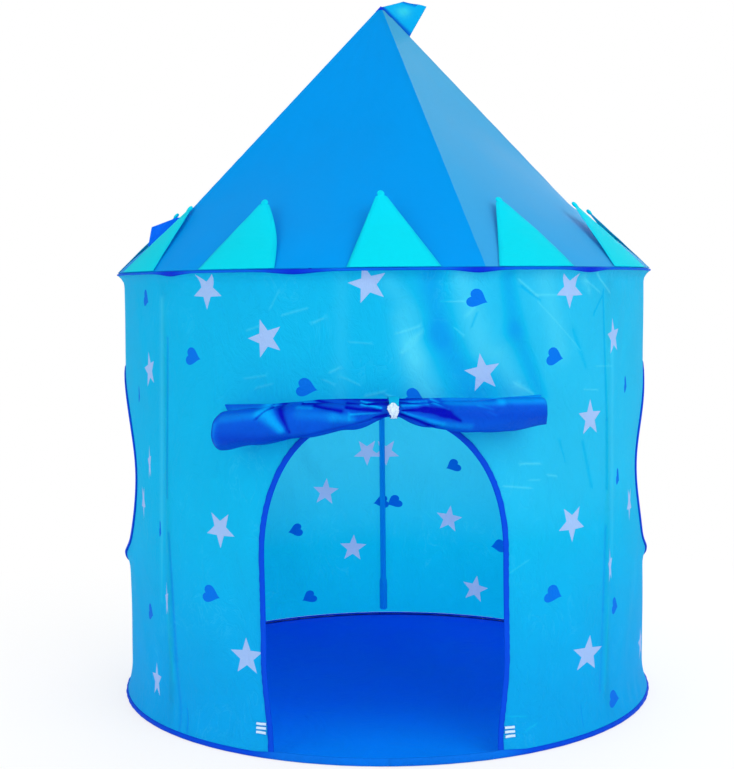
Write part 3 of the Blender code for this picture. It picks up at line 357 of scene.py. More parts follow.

# The folds that the photograph shows, and the poles' shadows through the wall, as strokes in its pixels: from
# one point to another, the half width at each end, and the painted light (+) or painted shade (-) there
STROKE_DEPTH = 0.0012
ROLL_STROKE_DEPTH = 0.0016
THIN_STROKE = 4.0  # pixels
STROKE_STEP = 0.0030
STROKE_CELL = 0.0012  # mesh points along the strokes lie on a grid of such cells
STROKE_SIDES = (-2.2, -1.0, 0.0, 1.0, 2.2)  # shares of a stroke's half width
WALL_STROKES = (
    (430, 274, 440, 335, 13, 13, -0.7), (440, 335, 476, 394, 13, 20, -0.7), (507, 274, 515, 330, 7, 10, -0.6),
    (515, 330, 541, 396, 9, 7, -0.6), (412, 345, 425, 395, 14, 16, 0.6), (400, 318, 414, 360, 10, 12, 0.35),
    (462, 280, 482, 350, 13, 16, 0.45), (500, 356, 520, 394, 11, 8, 0.3), (545, 280, 560, 350, 15, 14, 0.35),
    (401.7, 353, 421.6, 331.4, 1.5, 3, 0.5), (472, 326, 477, 313, 1.2, 1.0, -0.5),
    (469, 314, 474, 308, 2.5, 2, 0.4), (441, 301.5, 468, 301.5, 0.9, 0.9, 0.5),
    (595.7, 274, 609, 291.6, 1.0, 1.2, 0.7), (587, 281, 599, 291.6, 1.2, 1.0, 0.5),
    (602, 296, 594, 313, 1.2, 1.0, -0.4), (583, 278, 590, 292, 5, 3, 0.5),
    (519.4, 280, 537.6, 296.5, 1.2, 1.2, 0.6), (522, 286, 540, 300, 1.5, 1.0, -0.4),
    (536, 295, 557.5, 295, 1.2, 1, 0.45), (516, 384, 532.7, 393.5, 2.5, 1.5, 0.6),
    (597, 366, 610.6, 366, 0.8, 0.8, 0.35), (584, 389.4, 597, 389.7, 0.8, 0.8, 0.45),
    (454.7, 328, 463, 334.7, 0.9, 0.9, 0.45), (538, 302, 580, 350, 0.8, 0.8, 0.3),
    (573, 330, 586, 367, 3, 2, -0.25), (388, 283, 418, 318, 10, 12, 0.3), (342, 280, 340, 400, 8, 8, 0.12),
    (282.6, 315, 307, 308.3, 1.0, 1.0, 0.4), (313, 322.8, 324, 318, 1.2, 1.0, 0.5),
    (270.3, 308, 278.7, 291.4, 0.9, 0.8, 0.3), (247, 330.5, 258, 326.6, 1, 1, 0.35),
    (330, 372.6, 339, 368, 1.2, 1.0, 0.45), (256.5, 388, 271.8, 384, 1.2, 1.0, 0.3),
    (244, 378.7, 265.7, 375.6, 1, 1, 0.3), (350, 342, 369.8, 343.5, 1.0, 0.8, 0.3),
    (399, 332.8, 418.8, 326.6, 1.0, 1.4, 0.5), (324, 380, 333, 384, 1, 1, 0.3),
    (342, 377, 359, 384.8, 1.0, 1.0, 0.3), (366, 396, 384, 392, 1.5, 1.2, 0.4),
    (386, 395, 400, 400, 1.2, 1.5, 0.5), (167.5, 340, 167.5, 497, 1.3, 1.3, -1.0),
    (169, 533, 176, 660, 1.6, 2.6, -0.9), (176, 660, 184, 735, 2.6, 1.6, -0.5),
    (162, 300, 162, 600, 3.5, 3.5, 0.35), (166, 600, 174, 680, 3.0, 3.0, 0.3),
    (187, 708, 192, 738, 0.9, 1.6, -0.8), (603, 292, 606.5, 420, 1.2, 1.4, -0.5),
    (606.5, 420, 606.5, 489, 1.8, 1.8, -0.5), (605.5, 528, 603, 610, 1.8, 2.0, -0.6),
    (603, 610, 600, 690, 2.0, 2.0, -0.4), (612, 330, 612, 560, 3.0, 3.0, 0.25),
    (608, 600, 604, 690, 2.5, 2.0, 0.3), (521.8, 463.6, 540, 463.6, 1.1, 1.1, 0.6),
    (530, 480, 540, 480, 1, 1, 0.35), (548, 475, 556, 476, 1.2, 1.2, 0.5), (503.4, 486, 530, 488, 1, 1, 0.5),
    (509, 573.8, 527.5, 561, 1, 1, 0.35), (582.7, 443, 591.8, 486.6, 2, 2, -0.3),
    (560, 440, 566, 462, 1.5, 1, -0.2), (503, 716.5, 525, 716.5, 0.9, 0.8, 0.4),
    (526, 729.7, 535, 724, 1.2, 1, 0.4), (505, 640, 505, 700, 4, 4, 0.15),
    (581, 705, 581, 725, 0.8, 0.8, -0.4),
)
# The curtain roll's painted light and shade of its folds, in the same way
ROLL_STROKES = (
    (273.9, 404, 261.3, 418.1, 1.3, 0.9, -1.2), (270, 411, 285, 429, 8, 5, 1.0),
    (263, 412, 268, 407, 4, 3, 0.5), (282, 405, 292.8, 433, 4.6, 1.2, -1.1), (303, 413, 330, 416, 8, 7, 0.32),
    (303, 400.4, 345, 399.2, 1.2, 2.6, -1.3), (345, 399.8, 386, 402, 2.6, 3.2, -1.3),
    (315, 402.8, 342, 410, 1.4, 2.5, -1.1), (347, 406, 380, 411, 1.6, 2.4, -1.3),
    (361, 403.6, 381, 408, 1.0, 1.5, 1.3), (337, 417, 352, 419, 6, 5, 0.55),
    (350, 412, 350.5, 420, 1.4, 1.2, 0.4), (374, 419, 386, 416.5, 1.2, 2.4, -1.1),
    (300, 438, 372, 421, 1.2, 1.2, -0.4), (230, 440, 290, 441, 8, 5, -0.3), (229, 417, 262, 414, 6, 5, 0.4),
    (223.5, 423, 224.5, 446, 2.6, 2.2, 0.45), (300, 405, 313, 406, 2.6, 2, 0.45),
    (352, 414, 380, 413, 1.2, 1.2, 0.7), (226, 404.5, 256, 404.5, 1.6, 1.2, -0.6),
    (401, 400.6, 428, 399.6, 2.4, 1.3, -1.3), (434, 398.4, 452, 397.8, 1.0, 0.9, -0.8),
    (402, 411, 424, 408.4, 0.8, 2.6, -1.4), (424, 408.6, 443, 411.5, 3.4, 5.4, -1.4),
    (443, 412, 458, 421.5, 5.2, 1.4, -1.2), (432, 401.6, 447, 408, 1.2, 1.5, 0.9),
    (402, 405.6, 428, 404, 1.6, 1.4, 0.8), (445, 401.6, 500, 401.6, 3, 3, 0.5),
    (498, 399.6, 546, 399.6, 3, 4.5, 0.65), (402, 412.8, 441, 424.6, 1.4, 3, 0.65),
    (446, 426, 468, 427, 5, 4, 0.4), (401, 415.6, 434, 428.6, 2.2, 1.4, -1.2),
    (542.5, 403, 542.5, 421, 1.5, 1.5, 0.25), (460, 414, 540, 416, 7, 7, -0.2),
    (476, 404, 490, 408, 1.2, 1.0, 0.35), (485, 411, 492, 415, 1.2, 1.0, 0.3),
)

# Colours as the photograph shows them, 0 to 255
WALL_COLOUR = (8, 201, 239)
# The wall's painted shade and painted light, for its folds and for how the lamps fall on it
WALL_PAINTED_SHADE = (0, 168, 236)
WALL_PAINTED_LIGHT = (88, 230, 248)
STAR_COLOUR = (176, 206, 244)
HEART_COLOUR = (0, 118, 228)
ROOF_COLOUR = (0, 149, 228)
# The painted sheen and light on the roof's right panel
ROOF_PAINTED_SHEEN = (76, 172, 212)
CROWN_COLOUR = (0, 227, 243)
CROWN_DARK = (0, 188, 226)
FLAG_COLOUR = (0, 180, 236)
# The flag's painted shade and painted highlight
FLAG_PAINTED_SHADE = (0, 112, 216)
FLAG_PAINTED_LIGHT = (50, 205, 230)
FLOOR_COLOUR = (0, 100, 238)
# The ground sheet's painted shade further in and painted light by the door; the tab is taken part way to
# FLOOR_LIGHT
FLOOR_PAINTED_SHADE = (0, 82, 240)
FLOOR_LIGHT = (0, 130, 240)
TAPE_COLOUR = (0, 70, 208)
TAPE_DARK = (0, 42, 198)
TAPE_LIGHT = (0, 128, 222)
STITCH_COLOUR = (0, 66, 196)
SLEEVE_COLOUR = (0, 176, 250)
CURTAIN_COLOUR = (0, 82, 202)
# The curtain's painted shade deep in its folds and painted light on them
CURTAIN_PAINTED_SHADE = (0, 10, 170)
CURTAIN_PAINTED_LIGHT = (0, 158, 234)
WHITE_COLOUR = (196, 222, 248)
TIE_COLOUR = (205, 226, 246)
STEEL_COLOUR = (158, 160, 165)
FIBRE_COLOUR = (222, 226, 230)
FERRULE_COLOUR = (178, 181, 186)
PLASTIC_COLOUR = (26, 27, 30)

# Stitches along a tape, and the cloths' threads and crumples
STITCH_PLACE = 0.0015
STITCH_HALF_WIDTH = 0.0005
STITCH_PITCH = 0.0042
STITCH_SHARE = 0.68
STITCH_DEPTH = 0.0006
THREAD_DEPTH = 0.0002
CRUMPLE_DEPTH = 0.0035

# Light and floor
WHITE = (1.0, 1.0, 1.0, 1.0)
FLOOR_WHITE = (0.96, 0.96, 0.96, 1.0)
FLOOR_HALF_SIZE = 12.0
FLOOR_DROP = 0.0006
STUDIO_LIGHT = 0.72
LAMPS = (
    ("key", (2.4, -3.2, 3.0), (0.0, 0.0, 0.7), 3.6, 105.0),
    ("fill", (-2.8, -3.0, 1.6), (0.0, 0.0, 0.6), 3.2, 45.0),
    ("back", (0.6, 3.0, 2.2), (0.0, 0.0, 0.6), 3.2, 55.0),
)


# Small helpers

def linear(colour):
    """A 0 to 255 colour as the linear red, green, blue and alpha that Blender takes."""
    shares = [c / 255 for c in colour]
    return tuple(s / 12.92 if s <= 0.04045 else ((s + 0.055) / 1.055) ** 2.4 for s in shares) + (1.0,)


def ease(share):
    """From 0 to 1 as share does, with a soft start and end."""
    share = np.clip(share, 0.0, 1.0)
    return share * share * (3 - 2 * share)


def ramp(value, start, end):
    """0 before the start, 1 past the end, and a soft change between them."""
    return ease((value - start) / (end - start))


def bell(share):
    """1 where share is 0, and less on both sides."""
    return np.exp(-(share ** 2))


def half_turn(azimuth):
    """The same azimuth between -180 and 180."""
    return np.mod(azimuth + 180.0, 360.0) - 180.0


def around(radius, azimuth, height):
    """Points that far from the tent's axis on those azimuths, as an array with a last axis of three."""
    a = np.radians(azimuth)
    radius, a, height = np.broadcast_arrays(radius, a, height)
    return np.stack([radius * np.sin(a), -radius * np.cos(a), height], axis=-1)


def ways(azimuth):
    """Two level directions at an azimuth: to its side, and outwards from the tent's axis."""
    turn = math.radians(azimuth)
    return np.array([math.cos(turn), math.sin(turn), 0.0]), np.array([math.sin(turn), -math.cos(turn), 0.0])


def inside(points, loop):
    """Which of the flat points lie in the loop."""
    x, y = points[:, 0], points[:, 1]
    hit = np.zeros(len(points), bool)
    for (x0, y0), (x1, y1) in zip(loop, np.roll(loop, -1, axis=0)):
        if y0 != y1:
            hit ^= ((y0 > y) != (y1 > y)) & (x < x0 + (y - y0) * (x1 - x0) / (y1 - y0))
    return hit


def divided(points, spacing, closed):
    """A line through the points, with more points put in so that none are further apart than spacing."""
    points = np.asarray(points, float)
    ends = np.roll(points, -1, axis=0) if closed else points[1:]
    found = []
    for a, b in zip(points, ends):
        count = max(1, math.ceil(np.linalg.norm(b - a) / spacing))
        found += [a + (b - a) * i / count for i in range(count)]
    if not closed:
        found.append(points[-1])
    return np.array(found)


def piece(name, vertices, faces, materials, uv=None, face_slots=None, normals=None, tone=None):
    """A mesh object with its cloth coordinates, in metres, in the UV map named cloth.

    tone is mostly the painted light (up to 1) or painted shade (down to -1) that folds and lamps give each
    point.
    """
    mesh = bpy.data.meshes.new(name)
    mesh.from_pydata(np.asarray(vertices, float).tolist(), [], [tuple(int(i) for i in f) for f in faces])
    for material in materials:
        mesh.materials.append(material)
    if face_slots is not None:
        mesh.polygons.foreach_set("material_index", np.asarray(face_slots, np.int32))
    if uv is not None:
        corners = np.empty(len(mesh.loops), np.int32)
        mesh.loops.foreach_get("vertex_index", corners)
        layer = mesh.uv_layers.new(name="cloth")
        layer.data.foreach_set("uv", np.asarray(uv, np.float32)[corners].ravel())
    # tone: mostly painted light and painted shade
    tones = np.zeros(len(vertices)) if tone is None else np.ravel(tone)
    mesh.attributes.new("tone", "FLOAT", "POINT").data.foreach_set("value", tones.astype(np.float32))
    mesh.shade_smooth()
    if normals is not None:
        mesh.normals_split_custom_set_from_vertices(np.asarray(normals, float).tolist())
    made = bpy.data.objects.new(name, mesh)
    bpy.context.scene.collection.objects.link(made)
    return made


def grid_faces(rows, columns, wrap_rows=False, wrap_columns=False):
    """Quads between the points of a grid that is stored row by row."""
    faces = []
    for j in range(rows if wrap_rows else rows - 1):
        for i in range(columns if wrap_columns else columns - 1):
            a = j * columns + i
            b = j * columns + (i + 1) % columns
            c = (j + 1) % rows * columns + (i + 1) % columns
            d = (j + 1) % rows * columns + i
            faces.append((a, b, c, d))
    return faces


def lengths_along(points):
    """How far along the line each of the points is."""
    steps = np.linalg.norm(np.diff(points, axis=0), axis=1)
    return np.concatenate([[0.0], np.cumsum(steps)])


def grid_uv(points, row=0, column=0):
    """Lengths along one row and one column of a grid of points, as its UVs."""
    v, u = np.meshgrid(lengths_along(points[row]), lengths_along(points[:, column]))
    return np.stack([u, v], axis=-1).reshape(-1, 2)


def grid_piece(name, points, material, wrap_rows=False, wrap_columns=False, caps=False, tone=None):
    """A surface through a grid of points."""
    rows, columns = points.shape[:2]
    faces = grid_faces(rows, columns, wrap_rows, wrap_columns)
    if caps:
        faces.append(tuple(range(columns))[::-1])
        faces.append(tuple((rows - 1) * columns + i for i in range(columns)))
    return piece(name, points.reshape(-1, 3), faces, [material], grid_uv(points), tone=tone)


def two_faced(name, front, back, uv, material, tone):
    """A closed thin body between the two faces of a sheet, each a grid of points."""
    count = front.shape[0] * front.shape[1]
    near = grid_faces(*front.shape[:2])
    far = [tuple(i + count for i in reversed(f)) for f in near]
    numbers = np.arange(count).reshape(front.shape[:2])
    rim = [*numbers[0], *numbers[1:, -1], *numbers[-1, -2::-1], *numbers[-2:0:-1, 0]]
    sides = [(b, a, a + count, b + count) for a, b in zip(rim, rim[1:] + rim[:1])]
    vertices = np.concatenate([front.reshape(-1, 3), back.reshape(-1, 3)])
    uv = np.tile(uv, (2, 1))
    return piece(name, vertices, near + far + sides, [material], uv, tone=np.tile(np.ravel(tone), 2))


def sheet_body(name, points, material, tone):
    """A closed thin sheet round a grid of points, thinner along its edges."""
    normal = np.cross(np.gradient(points, axis=1), np.gradient(points, axis=0))
    normal /= np.linalg.norm(normal, axis=-1, keepdims=True)
    thin = np.ones(points.shape[:2])
    thin[[0, -1]] = thin[:, [0, -1]] = FIN_EDGE_SHARE
    offset = normal * (thin * FIN_THICKNESS / 2)[..., None]
    uv = grid_uv(points, points.shape[0] // 3, points.shape[1] // 2)
    return two_faced(name, points + offset, points - offset, uv, material, tone)


def dress(obj, body, slot, *nodes):
    """The piece rides on a body and stands for those nodes, which it hides. slot is not used."""
    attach(obj, body)
    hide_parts(*nodes)
    return obj


# Materials

class Nodes:
    """The node tree of a material or of the world, with short calls for what the looks share."""

    def __init__(self, owner, output="ShaderNodeOutputMaterial"):
        self.owner = owner
        owner.use_nodes = True
        self.tree = owner.node_tree
        self.tree.nodes.clear()
        self.output = self.add(output)

    def add(self, kind, values=None, **settings):
        made = self.tree.nodes.new(kind)
        for key, value in settings.items():
            setattr(made, key, value)
        for key, value in (values or {}).items():
            if isinstance(value, bpy.types.NodeSocket):
                self.tree.links.new(value, made.inputs[key])
            else:
                made.inputs[key].default_value = value
        return made

    def show(self, shader):
        """Sends the shader to the output, and gives back what the tree belongs to."""
        self.tree.links.new(shader, self.output.inputs[0])
        return self.owner

    def math(self, operation, a, b=0.0):
        return self.add("ShaderNodeMath", {0: a, 1: b}, operation=operation).outputs[0]

    def noise(self, place, scale, detail=3.0, stretch=(1.0, 1.0, 1.0), roughness=0.5, distortion=0.0):
        moved = self.add("ShaderNodeMapping", {"Vector": place, "Scale": stretch}).outputs[0]
        values = {"Vector": moved, "Scale": scale, "Detail": detail, "Roughness": roughness,
                  "Distortion": distortion}
        return self.add("ShaderNodeTexNoise", values).outputs[0]

    def spread(self, value, low, high, to_low, to_high):
        values = {"Value": value, "From Min": low, "From Max": high, "To Min": to_low, "To Max": to_high}
        return self.add("ShaderNodeMapRange", values).outputs[0]

    def blended(self, factor, colour, other, way="MIX"):
        values = {"Factor": factor, "A": colour, "B": other}
        return self.add("ShaderNodeMix", values, data_type="RGBA", blend_type=way).outputs["Result"]

    def tinted(self, colour, factor):
        """A colour that gets brighter or darker by a factor that varies over the surface."""
        tint = self.add("ShaderNodeCombineXYZ", {0: factor, 1: factor, 2: factor}).outputs[0]
        return self.blended(1.0, colour, tint, "MULTIPLY")

    def mixed(self, factor, shader, other):
        return self.add("ShaderNodeMixShader", {0: factor, 1: shader, 2: other}).outputs[0]

    def bump(self, height, distance, strength, before=None):
        values = {"Height": height, "Distance": distance, "Strength": strength}
        if before is not None:
            values["Normal"] = before
        return self.add("ShaderNodeBump", values).outputs[0]


def weave(n, along, across, pitch):
    """Threads that cross: 1 on top of a thread and 0 between two."""
    warp, weft = (n.math("SINE", n.math("MULTIPLY", v, 2 * math.pi / pitch)) for v in (along, across))
    return n.math("MULTIPLY_ADD", n.math("MULTIPLY", warp, weft), 0.5)


def stitches(n, along, across):
    """A row of stitches: 1 on a stitch and 0 elsewhere."""
    off = n.math("ABSOLUTE", n.math("SUBTRACT", across, STITCH_PLACE))
    turn = n.math("FRACT", n.math("DIVIDE", along, STITCH_PITCH))
    near = n.math("LESS_THAN", off, STITCH_HALF_WIDTH)
    return n.math("MULTIPLY", near, n.math("LESS_THAN", turn, STITCH_SHARE))


def cloth(name, colour, dark=None, light=None, roughness=0.62, pitch=0.0011, crumple=0.4, crumple_size=0.05,
          mottle=0.03, through=0.0, specular=0.05, strokes=0.0, stitch_colour=None):
    """A woven cloth: threads with painted shade between, crumpled creases, slight patches, and light through
    it.

    dark and light are mostly painted shade deep in a fold and painted light where the light falls on the
    cloth.
    """
    n = Nodes(bpy.data.materials.new(name))
    place = n.add("ShaderNodeUVMap", uv_map="cloth").outputs[0]
    along, across, _ = n.add("ShaderNodeSeparateXYZ", {0: place}).outputs
    threads = weave(n, along, across, pitch)
    patches = n.noise(place, 7.0, 4.0, roughness=0.6)
    fine = n.noise(place, 1 / crumple_size, 5.0, stretch=(1.0, 0.55, 1.0), roughness=0.62, distortion=1.6)
    creases = n.math("ABSOLUTE", n.math("SUBTRACT", fine, 0.5))
    sharp = n.spread(creases, 0.0, 0.09, 0.0, 1.0)
    # Random patches of darker and lighter cloth, with painted shade between the threads and painted light on
    # them
    shade = n.spread(patches, 0.3, 0.7, 1 - mottle, 1 + mottle)
    shade = n.math("MULTIPLY", shade, n.spread(threads, 0.0, 1.0, 0.98, 1.01))
    tone = linear(colour)
    if light:
        # The points' tone: mostly painted shade towards dark and painted light towards light
        fold = n.add("ShaderNodeAttribute", attribute_name="tone").outputs["Fac"]
        tone = n.blended(n.spread(fold, -1.0, 0.0, 0.0, 1.0), linear(dark), tone)
        tone = n.blended(n.spread(fold, 0.0, 1.0, 0.0, 1.0), tone, linear(light))
    # strokes paints highlights along the thinnest crumpled creases
    if strokes:
        line = n.spread(creases, 0.0, 0.022, strokes, 0.0)
        line = n.math("MULTIPLY", line, n.spread(patches, 0.50, 0.60, 0.0, 1.0))
        tone = n.blended(line, tone, linear(light))
    tone = n.tinted(tone, shade)
    normal = n.bump(n.math("ADD", n.math("MULTIPLY", sharp, 0.35), fine), CRUMPLE_DEPTH, crumple)
    normal = n.bump(threads, THREAD_DEPTH, 0.35, normal)
    if stitch_colour:
        stitch = stitches(n, along, across)
        tone = n.blended(stitch, tone, linear(stitch_colour))
        normal = n.bump(stitch, STITCH_DEPTH, 0.8, normal)
    rough = n.spread(patches, 0.3, 0.7, roughness - 0.06, roughness + 0.06)
    surface = n.add("ShaderNodeBsdfPrincipled", {
        "Base Color": tone, "Roughness": rough, "Normal": normal, "Specular IOR Level": specular,
    }).outputs[0]
    if through:
        glow = n.add("ShaderNodeBsdfTranslucent", {"Color": tone, "Normal": normal}).outputs[0]
        surface = n.mixed(through, surface, glow)
    return n.show(surface)


def hard(name, colour, roughness, metallic=0.0, grain=0.1, drawn=12.0):
    """A pole, tube or moulding: fine grain, closer or wider along its length, and slight wear."""
    n = Nodes(bpy.data.materials.new(name))
    place = n.add("ShaderNodeTexCoord").outputs["Object"]
    lines = n.noise(place, 250.0, 4.0, stretch=(1.0, 1.0, drawn))
    smudge = n.noise(place, 35.0, 3.0)
    tone = n.tinted(linear(colour), n.spread(lines, 0.3, 0.7, 1 - grain, 1 + grain / 2))
    rough = n.spread(smudge, 0.3, 0.7, roughness - 0.08, roughness + 0.1)
    return n.show(n.add("ShaderNodeBsdfPrincipled", {
        "Base Color": tone, "Roughness": rough, "Metallic": metallic, "Normal": n.bump(lines, 0.0003, 0.3),
    }).outputs[0])


def make_materials():
    # The wall, flag, ground sheet and curtain take painted shade and painted light from their points' tone,
    # and the roof a painted sheen
    return {
        "wall": cloth("wall_cloth_look", WALL_COLOUR, WALL_PAINTED_SHADE, WALL_PAINTED_LIGHT, through=0.42, strokes=0.12,
                      specular=0.09),
        "star": cloth("star_print_look", STAR_COLOUR, through=0.35),
        "heart": cloth("heart_print_look", HEART_COLOUR, through=0.25),
        "roof": cloth("roof_cloth_look", ROOF_COLOUR, ROOF_COLOUR, ROOF_PAINTED_SHEEN, through=0.18, crumple=0.10,
                      mottle=0.02, crumple_size=0.12, roughness=0.5, specular=0.02),
        "crown": cloth("crown_cloth_look", CROWN_COLOUR, CROWN_DARK, CROWN_COLOUR, through=0.3, crumple=0.2,
                       crumple_size=0.06),
        "flag": cloth("flag_cloth_look", FLAG_COLOUR, FLAG_PAINTED_SHADE, FLAG_PAINTED_LIGHT, through=0.25, crumple=0.3),
        "floor": cloth("floor_cloth_look", FLOOR_COLOUR, FLOOR_PAINTED_SHADE, FLOOR_LIGHT, roughness=0.5, crumple=0.35,
                       mottle=0.04, crumple_size=0.09),
        "tape": cloth("binding_tape_look", TAPE_COLOUR, TAPE_DARK, TAPE_LIGHT, pitch=0.0016, crumple=0.35,
                      crumple_size=0.02, mottle=0.06, stitch_colour=STITCH_COLOUR),
        "curtain": cloth("curtain_cloth_look", CURTAIN_COLOUR, CURTAIN_PAINTED_SHADE, CURTAIN_PAINTED_LIGHT, roughness=0.42,
                         crumple=0.5, mottle=0.05, crumple_size=0.03, specular=0.035),
        "sleeve": cloth("sleeve_cloth_look", SLEEVE_COLOUR, crumple=0.10, mottle=0.02, crumple_size=0.12),
        "white": cloth("white_tape_look", WHITE_COLOUR, pitch=0.0014, crumple=0.2),
        "tie": cloth("tie_cord_look", TIE_COLOUR, pitch=0.0012, crumple=0.5, crumple_size=0.008, mottle=0.05),
        "steel": hard("steel_wire_look", STEEL_COLOUR, 0.32, metallic=1.0),
        "fibre": hard("fibreglass_look", FIBRE_COLOUR, 0.4, grain=0.06),
        "ferrule": hard("ferrule_steel_look", FERRULE_COLOUR, 0.3, metallic=1.0),
        "plastic": hard("hub_plastic_look", PLASTIC_COLOUR, 0.45, drawn=1.0),
    }


# Where the camera's lines of sight meet the cloth

def sight_line(px, py):
    """From the camera through a pixel of the photograph: where it starts and its direction."""
    u = (px - IMAGE_WIDTH / 2) / FOCAL_PIXELS
    v = (IMAGE_HEIGHT / 2 - py) / FOCAL_PIXELS
    c, s = math.cos(CAMERA_ROLL), math.sin(CAMERA_ROLL)
    u, v = u * c + v * s, v * c - u * s
    c, s = math.cos(math.radians(CAMERA_PITCH)), math.sin(math.radians(CAMERA_PITCH))
    return np.array(CAMERA_PLACE), np.array([u, c + v * s, v * c - s])


def print_place(px, py, behind=False):
    """Where the photograph's pixel falls on the wall, as (arc, height)."""
    start, way = sight_line(px, py)
    a = way[0] ** 2 + way[1] ** 2
    b = 2 * (start[0] * way[0] + start[1] * way[1])
    c = start[0] ** 2 + start[1] ** 2 - WALL_RADIUS ** 2
    root = math.sqrt(max(0.0, b * b - 4 * a * c))
    t = (-b + (root if behind else -root)) / 2 / a
    x, y, z = start + t * way
    return math.atan2(x, -y) * WALL_RADIUS, z


def roll_spot(px, py):
    """Where the photograph's pixel falls on the roll's front, as (x, height)."""
    start, way = sight_line(px, py)
    y = -ROLL_REACH
    for _ in range(3):
        x, _, z = start + (y - start[1]) / way[1] * way
        y = ROLL_BEND_RADIUS - ROLL_REACH - math.sqrt(ROLL_BEND_RADIUS ** 2 - x * x) - ROLL_RADIUS / 2
    return x, z


@functools.cache
def placed(strokes, place):
    """Strokes on the cloth, with place as the way from the photograph's pixels to the cloth."""
    return [(place(a, b), place(c, d), wide, end, strength) for a, b, c, d, wide, end, strength in strokes]


def stroke_sum(u, v, strokes):
    """The painted light (up to 1) or painted shade (down to -1) that the strokes give each place."""
    total = np.zeros(np.broadcast(u, v).shape)
    for (u0, v0), (u1, v1), wide, end, strength in strokes:
        du, dv = u1 - u0, v1 - v0
        t = np.clip(((u - u0) * du + (v - v0) * dv) / (du * du + dv * dv), 0.0, 1.0)
        off = np.hypot(u - u0 - t * du, v - v0 - t * dv) * PIXELS_PER_METRE
        total += strength * bell(off / (wide + (end - wide) * t))
    return np.clip(total, -1.0, 1.0)


def wall_strokes(arc, height):
    return stroke_sum(arc, height, placed(WALL_STROKES, print_place))


def roll_strokes(x, height):
    return stroke_sum(x, height, placed(ROLL_STROKES, roll_spot))


# The wall's surface

def arc_at(azimuth):
    return math.radians(azimuth) * WALL_RADIUS


def seam_share(azimuth):
    """How far round each azimuth is from one wall seam to the next."""
    turned = half_turn(azimuth)
    left, right, back = SEAM_AZIMUTHS
    front = (turned - left) / (right - left)
    right_side = (turned - right) / (back - right)
    left_side = (turned + back) / (left + back)
    return np.where(turned < left, left_side, np.where(turned > right, right_side, front))


def crease(arc, height, start, end, width, depth):
    """A long soft fold from one (arc, height) to another: one side of it leans in and the other out."""
    a, b = np.array(start), np.array(end)
    reach = np.linalg.norm(b - a)
    along = (b - a) / reach
    u, v = arc - a[0], height - a[1]
    t = (u * along[0] + v * along[1]) / reach
    off = (u * along[1] - v * along[0]) / width
    window = ease((t + CREASE_RUN_OUT) / CREASE_EASE) * ease((1 + CREASE_RUN_OUT - t) / CREASE_EASE)
    return depth * off * bell(off) * window


def window_pull(arc, height):
    """The cloth sags in beside a window and flares out at the window's foot."""
    sag = WINDOW_SAG * bell((height - WINDOW_SAG_HEIGHT) / WINDOW_SAG_REACH)
    flare = WINDOW_FLARE * bell((height - WINDOW_FLARE_HEIGHT) / WINDOW_FLARE_REACH)
    near = 0.0
    for side in (-1, 1):
        away = np.hypot(arc - side * arc_at(WINDOW_AZIMUTH), height - WINDOW_HEIGHT)
        near = near + bell((away - WINDOW_RADIUS) / WINDOW_PULL_REACH)
    return near * (flare - sag)


def wall_radius(azimuth, height):
    """The wall's cloth: flared to the hems, with broad folds, long creases and puckers at the hems."""
    turn = np.radians(azimuth)
    arc = np.radians(half_turn(azimuth)) * WALL_RADIUS
    below_top, above_floor = WALL_TOP - height, height - WALL_BOTTOM
    up = np.maximum(0.0, 1 - below_top / EAVE_FLARE)
    down = np.maximum(0.0, 1 - above_floor / BASE_FLARE)
    flare = (WALL_SEAT_RADIUS - WALL_RADIUS) * (up * up + down * down)
    rise = np.sin(math.pi * np.clip(above_floor / (WALL_TOP - WALL_BOTTOM), 0.0, 1.0))
    slant = turn * WALL_RADIUS + FOLD_SLANT_SHARE * height
    across = np.sin(math.pi * seam_share(azimuth))
    broad = FOLD_DEPTH * rise * across * np.sin(2 * math.pi * slant / FOLD_PITCH)
    folds = sum(crease(arc, height, *c) for c in LONG_CREASES) + STROKE_DEPTH * wall_strokes(arc, height)
    wander = 2.3 * np.sin(5 * turn) + 1.7 * np.sin(11 * turn + 1.1)
    near = bell(below_top / PUCKER_REACHES[0]) + 1.2 * bell(above_floor / PUCKER_REACHES[1])
    pucker = PUCKER_DEPTH * near * np.sin(58 * turn + wander) * (0.5 + 0.5 * np.sin(7 * turn + 0.6))
    held = ease(below_top / HELD_BAND) * ease(above_floor / HELD_BAND)
    ridges = 0.0
    for seam in SEAM_AZIMUTHS:
        away = np.radians(half_turn(azimuth - seam)) * WALL_RADIUS
        ridges = ridges + SEAM_RIDGE * bell(away / SEAM_RIDGE_WIDTH) * rise
    return WALL_RADIUS + flare + broad + (folds + pucker) * held + ridges + window_pull(arc, height)


def wall_painted_light_and_shade(arc, height):
    """Painted shade low down, painted light at the right and back, and the strokes' painted light and shade.
    """
    low = LOW_SHADE * ramp(height, 0.43, 0.05)
    right = RIGHT_LIGHT * ramp(arc, 0.02, 0.22) * ramp(arc, 1.1, 0.8) * ramp(height, 0.30, 0.50)
    back = BACK_LIGHT * ramp(np.abs(arc), 1.05, 1.20)
    return low + right + back + wall_strokes(arc, height)


def wall_place(flat, out=0.0):
    """Flat points (arc, height) on the wall, with out as the way off it."""
    azimuth = np.degrees(flat[..., 0] / WALL_RADIUS)
    return around(wall_radius(azimuth, flat[..., 1]) + out, azimuth, flat[..., 1])


def wall_normals(flat):
    """The wall's direction outwards at flat points (arc, height)."""
    right, up = np.array([NORMAL_STEP, 0.0]), np.array([0.0, NORMAL_STEP])
    normal = np.cross(wall_place(flat + right) - wall_place(flat - right),
                      wall_place(flat + up) - wall_place(flat - up))
    return normal / np.linalg.norm(normal, axis=-1, keepdims=True)


# Prints

